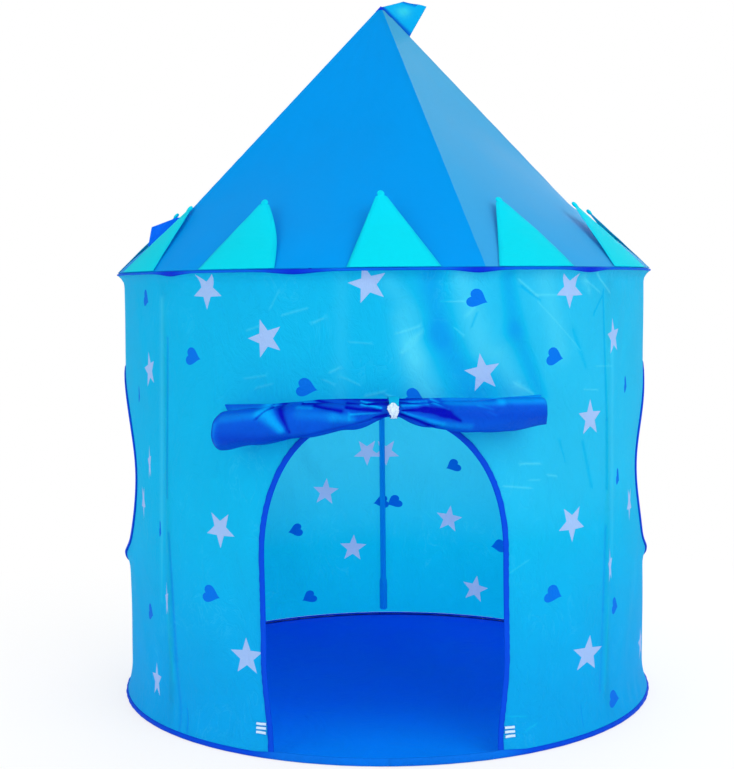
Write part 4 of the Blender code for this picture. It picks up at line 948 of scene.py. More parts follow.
def star_loop(turn, narrow=1.0):
    """A star with five points, turned anticlockwise."""
    points = []
    for i in range(10):
        radius = STAR_RADIUS * (STAR_WAIST_SHARE if i % 2 else 1.0)
        a = math.radians(90 + turn + 36 * i)
        points.append((radius * math.cos(a) * narrow, radius * math.sin(a)))
    return np.array(points)


def heart_loop(turn, narrow=1.0):
    """A plump heart, its point turned anticlockwise from straight down."""
    t = np.linspace(0, 2 * math.pi, 28, endpoint=False)
    x = HEART_RADIUS * np.sin(t) ** 3
    notch = 3.4 * bell(np.sin(t) / 0.5) * (np.cos(t) > 0)
    shape = 13 * np.cos(t) - 5 * np.cos(2 * t) - 2 * np.cos(3 * t) - np.cos(4 * t) + notch
    y = HEART_RADIUS * (shape / 16 + 0.10)
    a = math.radians(turn)
    across = (x * math.cos(a) - y * math.sin(a)) * narrow * HEART_STRETCH
    return np.stack([across, x * math.sin(a) + y * math.cos(a)], axis=-1)


def all_prints():
    """Every print on the wall as (kind, middle, loop): those in the photograph, and a scatter elsewhere."""
    found = [("star", print_place(px, py), star_loop(turn, narrow)) for px, py, turn, narrow in FRONT_STARS]
    for i, (px, py, narrow) in enumerate(FRONT_HEARTS):
        turn = HEART_TURN + (6 if i % 3 else -4)
        found.append(("heart", print_place(px, py), heart_loop(turn, narrow)))
    found += [("star", print_place(px, py, behind=True), star_loop(turn)) for px, py, turn in BACK_STARS]
    for i, (px, py) in enumerate(BACK_HEARTS):
        turn = HEART_TURN + (8 if i % 2 else -6)
        found.append(("heart", print_place(px, py, behind=True), heart_loop(turn)))
    rule = random.Random(PRINT_SEED)
    half = math.pi * WALL_RADIUS
    for _ in range(PRINT_TRIES):
        arc = rule.uniform(-half, half)
        height = rule.uniform(WALL_BOTTOM + PRINT_MARGINS[0], WALL_TOP - PRINT_MARGINS[1])
        kind = rule.choice(("star", "heart"))
        turn = rule.choice((0, 8, 12, 180)) if kind == "star" else HEART_TURN + rule.choice((-14, 14))
        seen_behind = half - abs(arc) < BACK_VIEW_HALF_WIDTH and height < BACK_VIEW_TOP
        if abs(arc) < arc_at(FRONT_VIEW_AZIMUTH) or seen_behind:
            continue
        apart = [math.hypot((arc - a + half) % (2 * half) - half, height - z) for _, (a, z), _ in found]
        if min(apart) > PRINT_SPACING:
            found.append((kind, (arc, height), star_loop(turn) if kind == "star" else heart_loop(turn)))
    return found


def prints_between(low, high, prints, spacing):
    """The edges of the prints between two corners of the flat wall, as (kind, loop)."""
    found = []
    for kind, (arc, height), loop in prints:
        for turn in (-1, 0, 1):
            middle = np.array([arc + turn * 2 * math.pi * WALL_RADIUS, height])
            mark = divided(loop + middle, spacing, True)
            if (mark.max(axis=0) > low).all() and (mark.min(axis=0) < high).all():
                found.append((kind, mark))
    return found


# Wall panels

def stroke_points():
    """Mesh points along the thin folds, so that the mesh is fine enough to show them."""
    found = []
    for start, end, wide, wide_end, _ in placed(WALL_STROKES, print_place):
        if max(wide, wide_end) > THIN_STROKE:
            continue
        start, end = np.array(start), np.array(end)
        along = end - start
        reach = np.linalg.norm(along)
        t = np.linspace(0, 1, max(2, math.ceil(reach / STROKE_STEP)))[:, None]
        side = np.array([-along[1], along[0]]) / reach
        width = (wide + (wide_end - wide) * t) / PIXELS_PER_METRE
        found += [start + along * t + side * width * share for share in STROKE_SIDES]
    cells = np.round(np.concatenate(found) / STROKE_CELL)
    return np.unique(cells, axis=0) * STROKE_CELL


def even_points(low, high, spacing):
    """Rows of points between two corners, each shifted by half a space from the row below it."""
    row = spacing * math.sqrt(3) / 2
    columns = int((high[0] - low[0]) / spacing) + 1
    found = []
    for j in range(int((high[1] - low[1]) / row) + 1):
        shift = spacing / 2 * (j % 2)
        found += [(low[0] + shift + i * spacing, low[1] + j * row) for i in range(columns)]
    return np.array(found)


def apart_from(flat, points, room):
    """Those of the points that lie more than room away from all that are in flat."""
    tree = KDTree(len(flat))
    for i, (u, v) in enumerate(flat):
        tree.insert((u, v, 0.0), i)
    tree.balance()
    return [(u, v) for u, v in points.tolist() if tree.find((u, v, 0.0))[2] > room]


def on_panel(points, outline, holes):
    """Which of the flat points lie inside the panel's outline and outside its holes."""
    keep = inside(points, outline)
    for hole in holes:
        keep &= ~inside(points, hole)
    return keep


def cloth_panel(name, outline, holes, spacing, prints, materials):
    """A panel of the wall: its outline, holes and prints are edges in the mesh."""
    outline, *holes = (divided(loop, spacing, True) for loop in (outline, *holes))
    low, high = outline.min(axis=0), outline.max(axis=0)
    marks = prints_between(low, high, prints, spacing)
    flat = []
    edges = []
    for loop in [outline, *holes] + [mark for _, mark in marks]:
        first = len(flat)
        flat += loop.tolist()
        edges += [(first + i, first + (i + 1) % len(loop)) for i in range(len(loop))]
    fillings = [(even_points(low, high, spacing), spacing / 2)]
    fillings.insert(0, (stroke_points(), STROKE_CELL))
    for points, room in fillings:
        flat += apart_from(flat, points[on_panel(points, outline, holes)], room)
    flat = [Vector(p) for p in flat]
    points, _, triangles, *_ = delaunay_2d_cdt(flat, edges, [], 0, TRIANGLE_MERGE, False)
    points = np.array([tuple(p) for p in points])
    triangles = np.array([tuple(t) for t in triangles])
    middles = points[triangles].mean(axis=1)
    keep = on_panel(middles, outline, holes)
    triangles, middles = triangles[keep], middles[keep]
    slots = np.zeros(len(triangles), int)
    for kind, mark in marks:
        near = (np.abs(middles - mark.mean(axis=0)) < STAR_RADIUS * 1.2).all(axis=1)
        where = np.flatnonzero(near)
        slots[where[inside(middles[where], mark)]] = 1 if kind == "star" else 2
    used, numbers = np.unique(triangles, return_inverse=True)
    triangles = numbers.reshape(-1, 3)
    points = points[used]
    # The wall's painted light and shade
    tone = wall_painted_light_and_shade(points[:, 0], points[:, 1])
    return piece(name, wall_place(points), triangles, materials, points, slots, wall_normals(points), tone)


def door_foot_slant(height):
    """How far the door's edges draw in towards its foot."""
    return DOOR_FOOT_SLANT * np.clip(1 - height / DOOR_FOOT_SLANT_FROM, 0.0, 1.0) ** 1.3


def door_edge(count=64):
    t = np.linspace(math.pi, 0, count)
    power = 2 / DOOR_ROUNDNESS
    across = np.sign(np.cos(t)) * np.abs(np.cos(t)) ** power
    arch = np.stack([DOOR_MIDDLE + DOOR_HALF_WIDTH * across,
                     DOOR_SPRING_HEIGHT + DOOR_RISE * np.abs(np.sin(t)) ** power], axis=-1)
    heights = np.linspace(WALL_BOTTOM, DOOR_FOOT_SLANT_FROM, 12)
    slants = door_foot_slant(heights)
    left = np.stack([DOOR_MIDDLE - DOOR_HALF_WIDTH + slants, heights], axis=-1)
    right = np.stack([DOOR_MIDDLE + DOOR_HALF_WIDTH - slants, heights], axis=-1)
    return np.concatenate([left, arch, right[::-1]])


def window_edge(azimuth, count=120):
    t = np.linspace(0, -2 * math.pi, count, endpoint=False)
    middle = np.array([arc_at(azimuth), WINDOW_HEIGHT])
    return middle + WINDOW_RADIUS * np.stack([np.cos(t), np.sin(t)], axis=-1)


def add_walls(look):
    """The three panels, each with its flat width, height and area."""
    prints = all_prints()
    materials = [look["wall"], look["star"], look["heart"]]
    left, right, back = SEAM_AZIMUTHS
    spacing = WALL_SPACING
    door = door_edge()
    x, z = door.T
    door_area = abs(np.dot(x, np.roll(z, 1)) - np.dot(z, np.roll(x, 1))) / 2
    made = {}
    for name, start, end, window in (
        ("front_wall", left, right, None),
        ("right_wall", right, back, WINDOW_AZIMUTH),
        ("left_wall", back - 360, left, -WINDOW_AZIMUTH),
    ):
        low, high = arc_at(start), arc_at(end)
        top = WALL_TOP + EAVE_TUCK
        corners = [(low, WALL_BOTTOM), (high, WALL_BOTTOM), (high, top), (low, top)]
        holes = []
        if window is None:
            corners[1:1] = door.tolist()
            cut = door_area
        else:
            holes = [window_edge(window)]
            cut = math.pi * WINDOW_RADIUS ** 2
        wall = cloth_panel(name + "_cloth", np.array(corners), holes, spacing, prints, materials)
        dress(wall, "tent", "wall_cloth", name)
        width, height = high - low, WALL_TOP - WALL_BOTTOM
        made[name] = (wall, width, height, width * height - cut)
    return made


# Binding, hems and ground sheet

def edge_tape(name, node, path, closed, out, look):
    """A folded tape round an edge of the wall."""
    path = divided(path, TAPE_STEP, closed)
    if closed:
        along = np.roll(path, -1, axis=0) - np.roll(path, 1, axis=0)
    else:
        along = np.gradient(path, axis=0)
    along /= np.linalg.norm(along, axis=1, keepdims=True)
    into = np.stack([along[:, 1], -along[:, 0]], axis=-1)
    half = [(-TAPE_LAP, 0.0002), (-TAPE_LAP, out * 0.75), (-TAPE_LAP + 0.0012, out), (-0.0008, out),
            (0.0007, out * 0.8)]
    section = half + [(0.0015, 0.0)] + [(p, -q) for p, q in half[::-1]]
    walked = lengths_along(path)
    rows = []
    for p, q in section:
        wave = TAPE_WAVE * np.sin(walked * 260 + 3 * np.sin(walked * 47)) * (p < -0.001)
        rows.append(wall_place(path + into * (p + wave)[:, None], q))
    points = np.stack(rows, axis=1)
    made = grid_piece(name, points, look["tape"], wrap_rows=closed, wrap_columns=True, caps=not closed)
    return dress(made, "tent", "binding_tape", node)


def add_bindings(look):
    door = edge_tape("door_binding_tape", "door_binding", door_edge(), False, DOOR_TAPE_OUT, look)
    made = {"front_wall": door}
    for side, azimuth in (("right", WINDOW_AZIMUTH), ("left", -WINDOW_AZIMUTH)):
        name = side + "_window"
        made[side + "_wall"] = edge_tape(name + "_tape", name + "_binding", window_edge(azimuth), True,
                                         WINDOW_TAPE_OUT, look)
    return made


def add_door_tapes(look):
    """Three short white bars on each side of the door's foot."""
    made = []
    t = np.linspace(0, 1, 12)
    for name, side, foot in BAR_FEET:
        inner = DOOR_HALF_WIDTH + BAR_FROM_DOOR - BAR_SLANT_SHARE * door_foot_slant(foot)
        arc = DOOR_MIDDLE + side * (inner + BAR_LENGTH * t)
        for k in range(3):
            low = foot + BAR_PITCH * k + BAR_WAVE * np.sin(3 * t + k)
            rows = [wall_place(np.stack([arc, low + p], axis=-1), q) for p, q in BAR_SECTION]
            bar = grid_piece("door_tape_%s_%d" % (name, k + 1), np.stack(rows), look["white"], wrap_rows=True)
            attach(bar, "tent")
            made.append(bar)
        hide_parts("door_tape_" + name)
    return made


def add_hems(look):
    """The two hems: soft tubes of tape that pucker round the wire, thicker where the poles end."""
    azimuth = np.linspace(0, 360, 720, endpoint=False)
    turn = np.radians(azimuth)
    fine, broad = HEM_PUCKERS
    pucker = fine * np.sin(97 * turn + 2.4 * np.sin(6 * turn)) + broad * np.sin(41 * turn + 1.3)
    door = ramp(np.abs(half_turn(azimuth)), *HEM_DOOR_AZIMUTHS)
    droop = sum(HEM_DROOP * bell(half_turn(azimuth - place) / width) for place, width in HEM_DROOPS)
    made = {}
    eave_tone = EAVE_HEM_TONE + HEM_DROOP_TONE * droop
    for name, height, half, above, below, tone in (
        ("base", HEM_HALF_HEIGHT, HEM_HALF_HEIGHT, HEM_DOOR_RISE * door, 0.0, HEM_DOOR_TONE * door),
        ("eave", EAVE_HEIGHT, EAVE_HEM_HALF_HEIGHT, 0.0, droop * 1.6, eave_tone),
    ):
        rows = []
        for t in np.radians(np.linspace(-HEM_SPREAD, HEM_SPREAD, 14)):
            out = HEM_HALF_DEPTH * math.cos(t) + pucker * max(0.0, math.cos(t))
            up = half * math.sin(t) + above * max(0.0, math.sin(t)) - below * max(0.0, -math.sin(t))
            rows.append(around(HOOP_RADIUS + out, azimuth, height + up))
        points = np.stack(rows, axis=1)
        tone = np.broadcast_to(tone[:, None], points.shape[:2])
        hem = grid_piece(name + "_hem_tape", points, look["tape"], wrap_rows=True, tone=tone)
        made[name] = dress(hem, "tent", "binding_tape", name + "_hem")
    return made


def add_ground(look):
    """The ground sheet, with shallow folds near its edge, painted light by the door and painted shade further
    in.
    """
    rings, steps = ((90, 360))
    radius = np.linspace(0.0, GROUND_RADIUS, rings)[:, None]
    turn = np.linspace(0, 2 * math.pi, steps, endpoint=False)[None, :]
    share = radius / GROUND_RADIUS
    fold = np.sin(13 * turn + 2 * np.sin(3 * turn)) * np.sin(31 * turn + 1.2) * share ** 5
    slack = np.sin(radius * 21 + 2 * np.cos(turn)) * np.cos(radius * 9 * np.sin(turn + 0.7)) * share
    height = GROUND_LIFT + GROUND_FOLD * fold * (1 - share ** 12) + GROUND_SLACK * slack * (1 - share ** 6)
    points = np.stack(np.broadcast_arrays(radius * np.sin(turn), -radius * np.cos(turn), height), axis=-1)
    vertices = np.concatenate([[[0, 0, GROUND_LIFT]], points[1:].reshape(-1, 3)])
    faces = [(0, 1 + i, 1 + (i + 1) % steps) for i in range(steps)]
    faces += [(a + 1, d + 1, c + 1, b + 1) for a, b, c, d in grid_faces(rings - 1, steps, wrap_columns=True)]
    y = vertices[:, 1]
    # Painted light towards the door and painted shade further in
    tone = 0.9 * ramp(y, -0.12, -0.48) - 0.7 * ramp(y, -0.05, 0.40)
    made = piece("ground_cloth", vertices, faces, [look["floor"]], vertices[:, :2], tone=tone)
    return dress(made, "tent", "floor_cloth", "ground_sheet")


# Roof

def roof_place(azimuth, share, out=0.0):
    """The roof's outer face: share 0 is the apex and 1 the eave, and out is level."""
    turned = np.mod(azimuth - RIDGE_AZIMUTHS[0], 360.0) + RIDGE_AZIMUTHS[0]
    chord = np.ones(np.broadcast(azimuth, share).shape)
    for a, b in zip(RIDGE_AZIMUTHS, RIDGE_AZIMUTHS[1:]):
        here = (turned >= a) & (turned <= b)
        flat = math.cos(math.radians(b - a) / 2) / np.cos(np.radians(turned - (a + b) / 2))
        chord = np.where(here, flat, chord)
    rounding = ramp(share, ROUND_FROM_SHARE, 1)
    radius = share * HOOP_RADIUS * (chord + (1 - chord) * rounding)
    return around(radius + out, azimuth, APEX_HEIGHT - share * ROOF_DROP)


def ridge_height(reach):
    """How high a ridge is, that far from the tent's axis."""
    return APEX_HEIGHT - reach * ROOF_DROP / HOOP_RADIUS


def add_roof(look):
    """The four panels, each with its flat width, length and area."""
    made = []
    rows, column = ((70, 1.0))
    share = np.linspace(0.006, 1.0, rows)[:, None]
    for (name, apex_tone, eave_tone), start, end in zip(ROOF_PANELS, RIDGE_AZIMUTHS, RIDGE_AZIMUTHS[1:]):
        half = math.radians(end - start) / 2
        across = np.linspace(0, 1, int((end - start) / column))[None, :]
        azimuth = start + (end - start) * across
        from_ridge = np.minimum(across, 1 - across) * 2 * half * share * HOOP_RADIUS
        welt = WELT * bell(from_ridge / WELT_WIDTH)
        sag = ROOF_SAG * np.sin(math.pi * across) * np.sin(math.pi * share ** 0.8)
        gather = ROOF_GATHER * ramp(share, 0.9, 1.0) * np.sin(np.radians(azimuth) * 61 + 1.7)
        pull = ROOF_PULL * bell(from_ridge / ROOF_PULL_WIDTH) * np.sin(share * 70 + azimuth * 0.2) * share
        points = roof_place(azimuth, share, welt - sag + gather * (1 - share ** 60) + pull)
        # Painted sheen and light, less towards the eave
        tone = np.broadcast_to(apex_tone + (eave_tone - apex_tone) * share, points.shape[:2])
        panel = grid_piece(name + "_cloth", points[::-1], look["roof"], tone=tone[::-1])
        dress(panel, "tent", "roof_cloth", name)
        half_width = HOOP_RADIUS * math.sin(half)
        area = half_width * math.hypot(HOOP_RADIUS * math.cos(half), ROOF_DROP) * ROUND_AREA_SHARE
        made.append((panel, 2 * half_width, RIDGE_LENGTH, area))
    return made


def add_apex_tape(look):
    """Tape folded over the apex, with a leg down each ridge."""
    steps = 96
    azimuth = np.linspace(RIDGE_AZIMUTHS[0], RIDGE_AZIMUTHS[-1], steps, endpoint=False)
    reach = np.full(steps, APEX_TAPE_REACH)
    for ridge, leg in zip(RIDGE_AZIMUTHS, APEX_LEGS):
        away = (azimuth - ridge) / APEX_LEG_WIDTH
        reach = np.maximum(reach, APEX_TAPE_REACH + leg * bell(away ** 2))
    parts = np.linspace(0.03, 1.0, 8)
    rings = []
    for part in parts:
        out = APEX_TAPE_OUT if part < 1 else APEX_TAPE_EDGE_OUT
        rings.append(roof_place(azimuth, reach * part / RIDGE_LENGTH, out))
    vertices = np.concatenate([[[0.0, 0.0, APEX_HEIGHT + APEX_TIP_OUT]], np.reshape(rings, (-1, 3))])
    faces = [(0, 1 + i, 1 + (i + 1) % steps) for i in range(steps)]
    faces += [tuple(k + 1 for k in f) for f in grid_faces(len(parts), steps, wrap_columns=True)]
    tone = np.full(len(vertices), APEX_TAPE_TONE)
    made = piece("apex_tape_cloth", vertices, faces, [look["tape"]], vertices[:, :2], tone=tone)
    return dress(made, "tent", "binding_tape", "apex_tape")


# Crown points, flag and tab

def knob_swell(share):
    return np.sqrt(np.clip(1 - ((share - KNOB_SHARE) / KNOB_SPAN_SHARE) ** 2, 0.0, 1.0))


def crown_half(share):
    """Half of a crown point's width along its length: straight sides up to a shoulder, and a small knob."""
    body = (CROWN_HALF_WIDTH * (1 - share) + CROWN_SHOULDER * share) * ramp(share, 0.955, 0.92)
    return np.maximum(np.maximum(body, KNOB_RADIUS * knob_swell(share)), CROWN_TIP)


def add_crown(look):
    """The crown points, each a thin closed sheet with a knob at its tip."""
    slope = math.atan2(ROOF_DROP, HOOP_RADIUS)
    rule = random.Random(CROWN_SEED)
    share = CROWN_SHARES[:, None]
    across = np.linspace(-1, 1, CROWN_COLUMNS)[None, :]
    half = crown_half(share)
    edge = half * (1 - np.abs(across))
    hem = np.where((edge < CROWN_HEM_WIDTH) & (share < 0.93), CROWN_HEM_TONE, 0.0)
    tone = hem + CROWN_STITCH_TONE * bell((edge - CROWN_STITCH_PLACE) / CROWN_STITCH_WIDTH)
    uv = np.stack(np.broadcast_arrays(share * CROWN_LENGTH, edge), axis=-1).reshape(-1, 2)
    fat = CROWN_HALF_THICKNESS + KNOB_HALF_THICKNESS * knob_swell(share)
    fat = fat * np.sqrt(np.clip(1.04 - across ** 2, 0.0, 1.0))
    curl = CROWN_CURL * np.clip(share - 0.75, 0, 1)
    shapes = zip(CROWN_LIFTS, CROWN_TURNS, CROWN_SKEWS, CROWN_BULGES)
    for number, (lift, turn, skew, bulge) in enumerate(shapes):
        name = "crown_point_%02d" % (number + 1)
        side, outward = ways(number * 360 / len(CROWN_TURNS) + turn)
        lean = slope + math.radians(lift)
        along = UP * math.sin(lean) - outward * math.cos(lean)
        face = UP * math.cos(lean) + outward * math.sin(lean)
        s = half * across + bulge * np.sin(math.pi * share) * (across + 1) / 2
        reach = np.sqrt(CROWN_RADIUS ** 2 - s * s)
        bow = CROWN_BOW * np.sin(math.pi * share) * (1 - across ** 2) * rule.uniform(0.6, 1.4)
        ripple = np.sin(share * rule.uniform(14, 22) + across * rule.uniform(2, 4)) * share * (1 - share)
        shift = bow + CROWN_RIPPLE * ripple + curl
        middle = outward * reach[..., None] + side * s[..., None] + UP * CROWN_FOOT
        middle = middle + (along * CROWN_LENGTH + side * skew) * share[..., None]
        front = middle + face * (shift + fat)[..., None]
        back = middle + face * (shift - fat)[..., None]
        point = two_faced(name + "_cloth", front, back, uv, look["crown"], tone)
        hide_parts(name)
        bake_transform(point)


def fin_grid(foot, toe, corner, crest, azimuth, wave):
    """A waving four-sided fin in an upright plane through the tent's axis, from its sewn edge outwards."""
    a = np.linspace(0, 1, FIN_POINTS)[None, :, None]
    b = np.linspace(0, 1, FIN_POINTS)[:, None, None]
    foot, toe, corner, crest = (np.array(p) for p in (foot, toe, corner, crest))
    flat = (foot * (1 - a) + toe * a) * (1 - b) + (crest * (1 - a) + corner * a) * b
    bend = wave * (ease(b) * np.sin(2 * math.pi * a * 0.9 + 0.6) + 0.3 * b * np.sin(9 * a + 4 * b))
    side, _ = ways(azimuth)
    return around(flat[..., 0], azimuth, flat[..., 1]) + side * bend


def add_flag(look):
    lift = FLAG_LIFT * RIDGE_LENGTH / HOOP_RADIUS
    foot, toe = ((reach, ridge_height(reach) + lift) for reach in (FLAG_START, FLAG_BASE_REACH))
    points = fin_grid(foot, toe, FLAG_CORNER, FLAG_CREST, FLAG_AZIMUTH, FLAG_WAVE)
    a = np.linspace(0, 1, FIN_POINTS)[None, :]
    b = a.T
    # A painted highlight in the middle, and painted shade along the sewn edge and part of the outer edge
    light = 1.1 * bell(np.hypot((a - 0.42) / 0.2, (b - 0.5) / 0.22))
    tone = light - 0.8 * ramp(b, 0.8, 0.95) * (a < 0.62) - 1.1 * ramp(b, 0.16, 0.04)
    flag = sheet_body("top_flag_cloth", points, look["flag"], tone)
    dress(flag, "flag_body", "flag_cloth", "top_flag")


def add_tab(look):
    ends = []
    for height in (TAB_HIGH, TAB_LOW):
        share = (APEX_HEIGHT - height) / ROOF_DROP
        x, y, _ = roof_place(np.array([TAB_AZIMUTH]), np.array([share]))[0]
        ends.append(np.array([math.hypot(x, y) + CLOTH, height]))
    high, low = ends
    points = fin_grid(high, low, low + TAB_CORNER, high + TAB_CREST, TAB_AZIMUTH, TAB_WAVE)
    tab = sheet_body("left_tab_cloth", points, look["floor"], np.full(points.shape[:2], TAB_TONE))
    dress(tab, "tent", "floor_cloth", "left_tab")


# Door curtain

def profile_at(x):
    """The roll's radius and the height of its top at x."""
    share = np.clip(np.where(x > 0, x / ROLL_RIGHT, x / ROLL_LEFT), -1.0, 1.0)
    wide = np.zeros_like(share)
    dip = np.zeros_like(share)
    for (a, wide_a, dip_a), (b, wide_b, dip_b) in zip(ROLL_PROFILE, ROLL_PROFILE[1:]):
        here = (share >= a) & (share <= b)
        t = ramp(share, a, b)
        wide = np.where(here, wide_a + (wide_b - wide_a) * t, wide)
        dip = np.where(here, dip_a + (dip_b - dip_a) * t, dip)
    return ROLL_RADIUS * wide, ROLL_TOP - ROLL_RADIUS * dip


def roll_frame(x):
    """The roll's middle at x, its direction outwards from the tent, and its radius."""
    radius, top = profile_at(x)
    bend = np.sqrt(ROLL_BEND_RADIUS ** 2 - x * x)
    middle = np.stack([x, ROLL_BEND_RADIUS - ROLL_REACH - bend, top - radius], axis=-1)
    outward = np.stack([x, -bend, 0 * x], axis=-1) / ROLL_BEND_RADIUS
    return middle, outward, radius


def roll_places(count):
    """Stations along the roll, closer together at the tie."""
    t = np.linspace(-1, 1, count)
    t = t * (0.55 + 0.45 * np.abs(t) ** 1.5)
    return np.where(t < 0, TIE_PLACE + t * (ROLL_LEFT + TIE_PLACE), TIE_PLACE + t * (ROLL_RIGHT - TIE_PLACE))


def roll_wrinkle(x, angle):
    """How far the roll's cloth stands out of its round shape, as a share of its radius."""
    away = np.abs(x - TIE_PLACE)
    near = bell(away / 0.075)
    bound = ramp(away, 0.007, 0.027)
    end = ramp(away, 0.03, 0.15)
    side = np.where(x < TIE_PLACE, 1.0, -1.0)
    gathers = 0.07 * near * np.sin(7 * angle + side * 90 * away + 0.8 * np.sin(3 * angle))
    gathers += 0.03 * near * np.sin(13 * angle - side * 30 * away + 1.3)
    folds = 0.035 * end * np.sin(2 * angle + x * 23 + 1.1 * np.sin(angle + x * 11))
    folds += 0.018 * np.sin(5 * angle + x * 41 + 2.0 * np.sin(x * 17)) * (0.4 + end)
    folds += 0.010 * np.sin(9 * angle - x * 63 + 1.7 * np.sin(x * 29 + angle))
    return (gathers + folds) * bound


def end_shares(x):
    """How near x is to the roll's left end and to its right end, from 0 to 1."""
    return ramp(x, *LEFT_END), ramp(x, *RIGHT_END)


def roll_end_shift(x, angle):
    """How the cloth's slant moves the roll's ends: the left end's top is cut back, the right end is even."""
    left, right = end_shares(x)
    over = np.maximum(0.0, np.sin(angle))
    under = np.maximum(0.0, -np.sin(angle))
    front = np.maximum(0.0, np.cos(angle))
    left_shift = LEFT_TOP_CUT * over ** 3 - 0.001 * under - 0.003
    right_shift = RIGHT_FRONT_CUT * (1 - front) * (front > 0) - RIGHT_TOP_CUT * over ** 6
    return left_shift * left + right_shift * right


def add_curtain(look):
    """The rolled-up curtain: one sheet wound in a spiral, finer on its outer turn, which shows."""
    outer, inner, stations = ((120, 76, 240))
    x = roll_places(stations)[:, None]
    middle, outward, radius = roll_frame(x[:, 0])
    radius = radius[:, None]
    turn = np.concatenate([np.linspace(0, ROLL_OUTER_TURNS, outer),
                           np.linspace(ROLL_OUTER_TURNS, ROLL_TURNS, inner)[1:]])[None, :]
    angle = math.radians(ROLL_START_ANGLE) + 2 * math.pi * turn
    wound = 1 - ROLL_WOUND_SHARE * turn / ROLL_TURNS
    height = middle[:, 2:] + np.sin(angle) * radius
    # Painted light and shade of the folds, on the side of the roll that faces out and up
    tone = roll_strokes(x, height) * (np.cos(angle) > -0.4)
    wrinkle = roll_wrinkle(x, angle) * wound ** 0.5
    reach = radius * (wound * (1 + wrinkle) - ROLL_INSET_SHARE)
    reach = reach + ROLL_STROKE_DEPTH * tone * (turn < ROLL_OUTER_TURNS)
    ray = outward[:, None, :] * np.cos(angle)[..., None] + UP * np.sin(angle)[..., None]
    points = middle[:, None, :] + ray * reach[..., None]
    points[..., 0] += roll_end_shift(x, angle)
    roll = grid_piece("door_curtain_cloth", points, look["curtain"], tone=tone + CURTAIN_TONE)
    thick = roll.modifiers.new("cloth", "SOLIDIFY")
    thick.thickness = ROLL_CLOTH
    thick.offset = 0.0
    return dress(roll, "curtain_body", "curtain_cloth", "door_curtain")


def add_curtain_strip(look):
    """The curtain's sewn top, from the wall to the roll, in two parts that meet behind the tie."""
    half = 101
    x = roll_places(2 * half - 1)
    middle, outward, radius = roll_frame(x)
    start = math.radians(ROLL_START_ANGLE)
    reach = radius * (1 + roll_wrinkle(x, start) - ROLL_INSET_SHARE)
    end = middle + (outward * math.cos(start) + UP * math.sin(start)) * reach[:, None]
    turn = np.arcsin(x / WALL_RADIUS)
    arc, azimuth = WALL_RADIUS * turn, np.degrees(turn)
    seam_height = CURTAIN_SEAM - np.interp(x, *np.transpose(SEAM_DROPS))
    heights = np.linspace(CURTAIN_SEAM - CURTAIN_TRAVEL, CURTAIN_SEAM, 60)
    bulge = np.max([wall_radius(azimuth, np.full_like(x, h)) for h in heights], axis=0)
    ledge = bulge + WALL_CLEARANCE - wall_radius(azimuth, seam_height)
    sewn = wall_place(np.stack([arc, seam_height], axis=-1), SEAM_OUT)
    seam = wall_place(np.stack([arc, seam_height - SEAM_STEP], axis=-1), ledge)
    for row in (sewn, seam):
        row[:, 0] += SEAM_RIGHT_SHIFT * end_shares(x)[1]
    rows = [sewn]
    near = bell((x - TIE_PLACE) / 0.09)
    for t in np.linspace(0, 1, 16):
        gather = STRIP_GATHER * np.sin(x * 210 + 3 * np.sin(x * 31)) * (0.25 + near)
        lift = (gather - STRIP_SLACK) * math.sin(math.pi * t)
        rows.append(seam * (1 - t) + end * t + UP * lift[:, None])
    points = np.stack(rows, axis=0)
    # The same painted light and shade, and the strip's painted shade above the roll
    tone = roll_strokes(points[..., 0], points[..., 2])
    for name, part, tilt in (("left", slice(None, half), 0.05), ("right", slice(half - 1, None), -0.02)):
        strip = grid_piece("curtain_top_" + name, points[:, part], look["curtain"], tone=tone[:, part])
        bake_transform(strip)
    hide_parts("curtain_top_strip")


def ribbon(name, path, across, widths, material):
    """A flat band along a path, with across as the direction of its width."""
    along = np.gradient(path, axis=0)
    along /= np.linalg.norm(along, axis=1, keepdims=True)
    across = across - along * (across * along).sum(axis=1, keepdims=True)
    across /= np.linalg.norm(across, axis=1, keepdims=True)
    lift = np.cross(along, across)
    columns = [path + across * (s * widths / 2) + lift * (q * TIE_THICKNESS / 2) for s, q in RIBBON_SECTION]
    return grid_piece(name, np.stack(columns, axis=1), material, wrap_columns=True, caps=True)


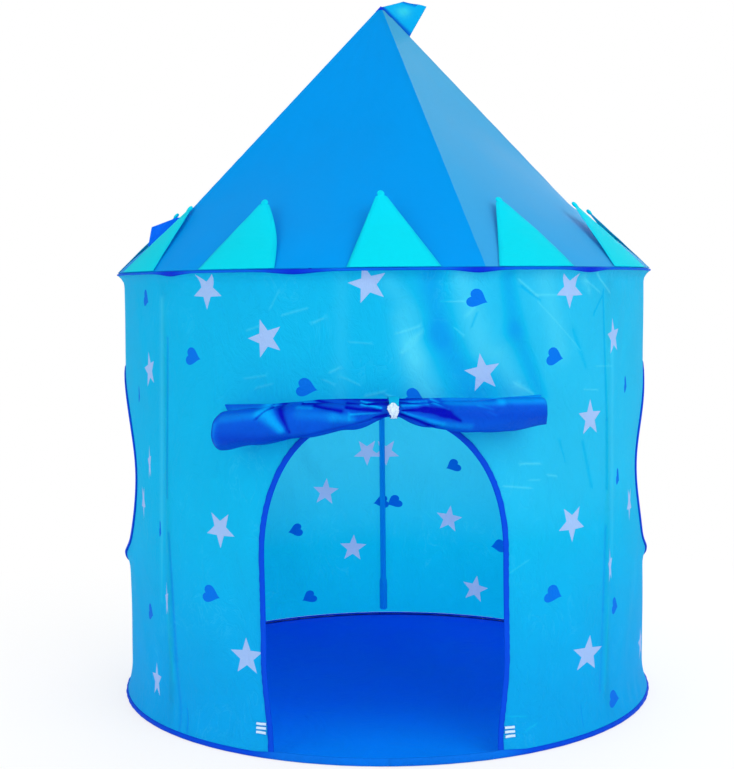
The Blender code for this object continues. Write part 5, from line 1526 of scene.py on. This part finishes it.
def add_tie(look):
    """A tape of wall cloth from the seam over the roll, and a crumpled white tie and its knot round it."""
    middle, outward, radius = (v[0] for v in roll_frame(np.array([TIE_PLACE])))
    side = np.cross(outward, UP)
    bore = radius + TIE_CLEARANCE

    def rays(angle):
        return outward * np.cos(angle)[:, None] + UP * np.sin(angle)[:, None]

    parts = []
    turn = np.linspace(0, 2 * math.pi, 60)
    for k, (place, slant) in enumerate(TIE_BANDS):
        swell = bore + TIE_BAND_OUT + 0.0004 * np.sin(5 * turn + k)
        path = middle + rays(turn) * swell[:, None] + side * (place + slant * np.cos(turn))[:, None]
        parts.append(ribbon("tie_band_%d" % (k + 1), path, side, TIE_BAND_WIDTH, look["tie"]))
    t = np.linspace(0, 1, 30)
    bend = np.radians(np.linspace(*TIE_TAPE_ANGLES, 30))
    path = middle + rays(bend) * (bore + TIE_TAPE_OUT + 0.0005 * np.sin(9 * t))[:, None]
    tape = ribbon("tie_tape", path, side, np.linspace(*TIE_TAPE_WIDTHS, 30)[:, None], look["wall"])
    axes = np.array([side, outward, UP])
    polar = np.linspace(0.02, math.pi - 0.02, 44)[:, None]
    spin = np.linspace(0, 2 * math.pi, 56, endpoint=False)[None, :]
    lump = 1 + 0.15 * np.sin(3 * spin + 2 * polar) + 0.12 * np.sin(5 * spin - 3 * polar) * np.sin(polar)
    lump = lump + 0.07 * np.sin(9 * spin + 7 * polar) * np.sin(polar) + 0.05 * np.sin(13 * polar - 4 * spin)
    ball = np.broadcast_arrays(np.sin(polar) * np.cos(spin), np.sin(polar) * np.sin(spin), np.cos(polar))
    ball = np.stack(ball, axis=-1) * lump[..., None] * KNOT_RADII
    knot = middle + outward * bore + (ball + KNOT_MIDDLE) @ axes
    parts.append(grid_piece("tie_knot", knot, look["tie"], wrap_columns=True, caps=True))
    for part in parts:
        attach(part, "curtain_body")
    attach(tape, "curtain_body")
    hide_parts("curtain_tie")
    return parts + [tape]


# Poles, sleeves and pockets

def add_sleeves(look):
    """The sleeves round the wall poles and their pockets: tubes with a seam allowance on each side."""
    skin = WALL_RADIUS * math.cos(math.pi / WALL_FACETS) - CLOTH / 2 - GAP
    near, deep = SLEEVE_DEPTHS
    tube = [(math.cos(t), near + deep * math.sin(t)) for t in np.linspace(math.pi, 0, 17)]
    section = [(-across, q) for across, q in SLEEVE_ALLOWANCE[::-1]] + tube + list(SLEEVE_ALLOWANCE)
    for name, azimuth in zip(("left", "right", "rear"), SEAM_AZIMUTHS):
        low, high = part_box(name + "_pole_sleeve")
        side, outward = ways(azimuth)
        heights = np.linspace(SLEEVE_FOOT, high[2], 120)
        wide = 1 + SLEEVE_WIDENING * ramp(heights, low[2] + 0.006, low[2] - 0.004)
        rows = []
        for across, q in section:
            s = SLEEVE_HALF_WIDTH * across * wide
            slack = SLEEVE_SLACK * np.sin(heights * 190 + 3 * math.copysign(1, across)) * (q > 0.003)
            reach = np.sqrt(skin * skin - s * s) - q * wide ** 0.5 - slack
            rows.append(outward * reach[:, None] + side * s[:, None] + UP * heights[:, None])
        sleeve = grid_piece(name + "_sleeve_cloth", np.stack(rows, axis=1), look["sleeve"])
        dress(sleeve, "tent", "roof_cloth", name + "_pole_sleeve")


def add_pockets(look):
    """Small cloth cups, with a rolled rim, over the poles' ends."""
    t = np.linspace(0, 2 * math.pi, POCKET_SIDES, endpoint=False)
    for node in sorted(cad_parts):
        if not node.endswith("_pocket"):
            continue
        kind = node.split("_")[1]
        radius, depth = POCKET_SIZES[kind]
        middle = np.mean([tuple(v.co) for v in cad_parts[node].data.vertices], axis=0)
        if kind == "roof":
            way = Vector((-middle[0], -middle[1], APEX_HEIGHT - HUB_DROP - middle[2]))
        else:
            way = Vector((0, 0, -1 if kind == "eave" else 1))
        turn = np.array(way.to_track_quat("Z", "Y").to_matrix())
        rings = [[radius * r * np.cos(t), radius * r * np.sin(t), np.full(len(t), depth * h)]
                 for r, h in POCKET_PROFILE]
        points = np.moveaxis(rings, 1, -1) @ turn.T + middle
        cup = grid_piece(node + "_cloth", points, look["tape"], wrap_columns=True, caps=True)
        dress(cup, "tent", "binding_tape", node)


def dress_hard_parts(look):
    """The frame's own solids keep their shapes and take a material by the last word of their names."""
    kinds = {"hoop": "steel", "ferrule": "ferrule", "pole": "fibre", "hub": "plastic"}
    for node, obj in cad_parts.items():
        kind = kinds.get(node.split("_")[-1])
        if kind:
            for slot in obj.material_slots:
                slot.material = look[kind]


# Light, floor and camera

def add_floor():
    """A white floor that fades into the background, and shows as pure white far from the tent."""
    n = Nodes(bpy.data.materials.new("floor_stage"))
    path = n.add("ShaderNodeLightPath").outputs
    seen = n.math("MAXIMUM", path["Is Camera Ray"], path["Is Glossy Ray"])
    seen = n.math("MAXIMUM", seen, path["Is Transmission Ray"])
    matt = n.add("ShaderNodeBsdfDiffuse", {"Color": FLOOR_WHITE}).outputs[0]
    white = n.add("ShaderNodeEmission", {"Color": WHITE, "Strength": 1.0}).outputs[0]
    place = n.add("ShaderNodeNewGeometry").outputs["Position"]
    far = n.add("ShaderNodeVectorMath", {0: place}, operation="LENGTH").outputs["Value"]
    factor = n.math("MULTIPLY", seen, n.spread(far, 0.62, 1.5, 0.70, 1.0))
    material = n.show(n.mixed(factor, matt, white))
    half = FLOOR_HALF_SIZE
    corners = [(x, y, -FLOOR_DROP) for x, y in ((-half, -half), (half, -half), (half, half), (-half, half))]
    piece("stage_floor", corners, [(0, 1, 2, 3)], [material])


def add_light():
    """Three lamps, in a world that looks pure white but lights the tent less than that."""
    scene = bpy.context.scene
    scene.world = bpy.data.worlds.new("studio")
    n = Nodes(scene.world, "ShaderNodeOutputWorld")
    path = n.add("ShaderNodeLightPath").outputs
    seen = n.math("MAXIMUM", path["Is Camera Ray"], path["Is Transmission Ray"])
    soft, bright = (n.add("ShaderNodeBackground", {"Color": WHITE, "Strength": strength}).outputs[0]
                    for strength in (STUDIO_LIGHT, 1.0))
    n.show(n.mixed(seen, soft, bright))
    for name, place, aim, size, power in LAMPS:
        lamp = bpy.data.lights.new(name, "AREA")
        lamp.size = size
        lamp.energy = power
        holder = bpy.data.objects.new(name, lamp)
        holder.location = place
        holder.rotation_euler = (Vector(aim) - Vector(place)).to_track_quat("-Z", "Y").to_euler()
        scene.collection.objects.link(holder)
    scene.view_settings.view_transform = "Standard"


def add_camera():
    data = bpy.data.cameras.new("camera")
    data.sensor_width = SENSOR
    data.lens = FOCAL_PIXELS * SENSOR / max(IMAGE_WIDTH, IMAGE_HEIGHT)
    data.clip_end = 60.0
    camera = bpy.data.objects.new("camera", data)
    turn = Matrix.Rotation(math.radians(90 - CAMERA_PITCH), 4, "X") @ Matrix.Rotation(-CAMERA_ROLL, 4, "Z")
    camera.matrix_world = Matrix.Translation(CAMERA_PLACE) @ turn
    bpy.context.scene.collection.objects.link(camera)
    bpy.context.scene.camera = camera


def main():
    add_camera()
    add_floor()
    add_light()
    look = make_materials()
    walls = add_walls(look)
    tapes = add_bindings(look)
    bars = add_door_tapes(look)
    hems = add_hems(look)
    ground = add_ground(look)
    roof = add_roof(look)
    tape = add_apex_tape(look)
    add_crown(look)
    add_flag(look)
    add_tab(look)
    roll = add_curtain(look)
    add_curtain_strip(look)
    tie = add_tie(look)
    add_sleeves(look)
    add_pockets(look)
    dress_hard_parts(look)


main()
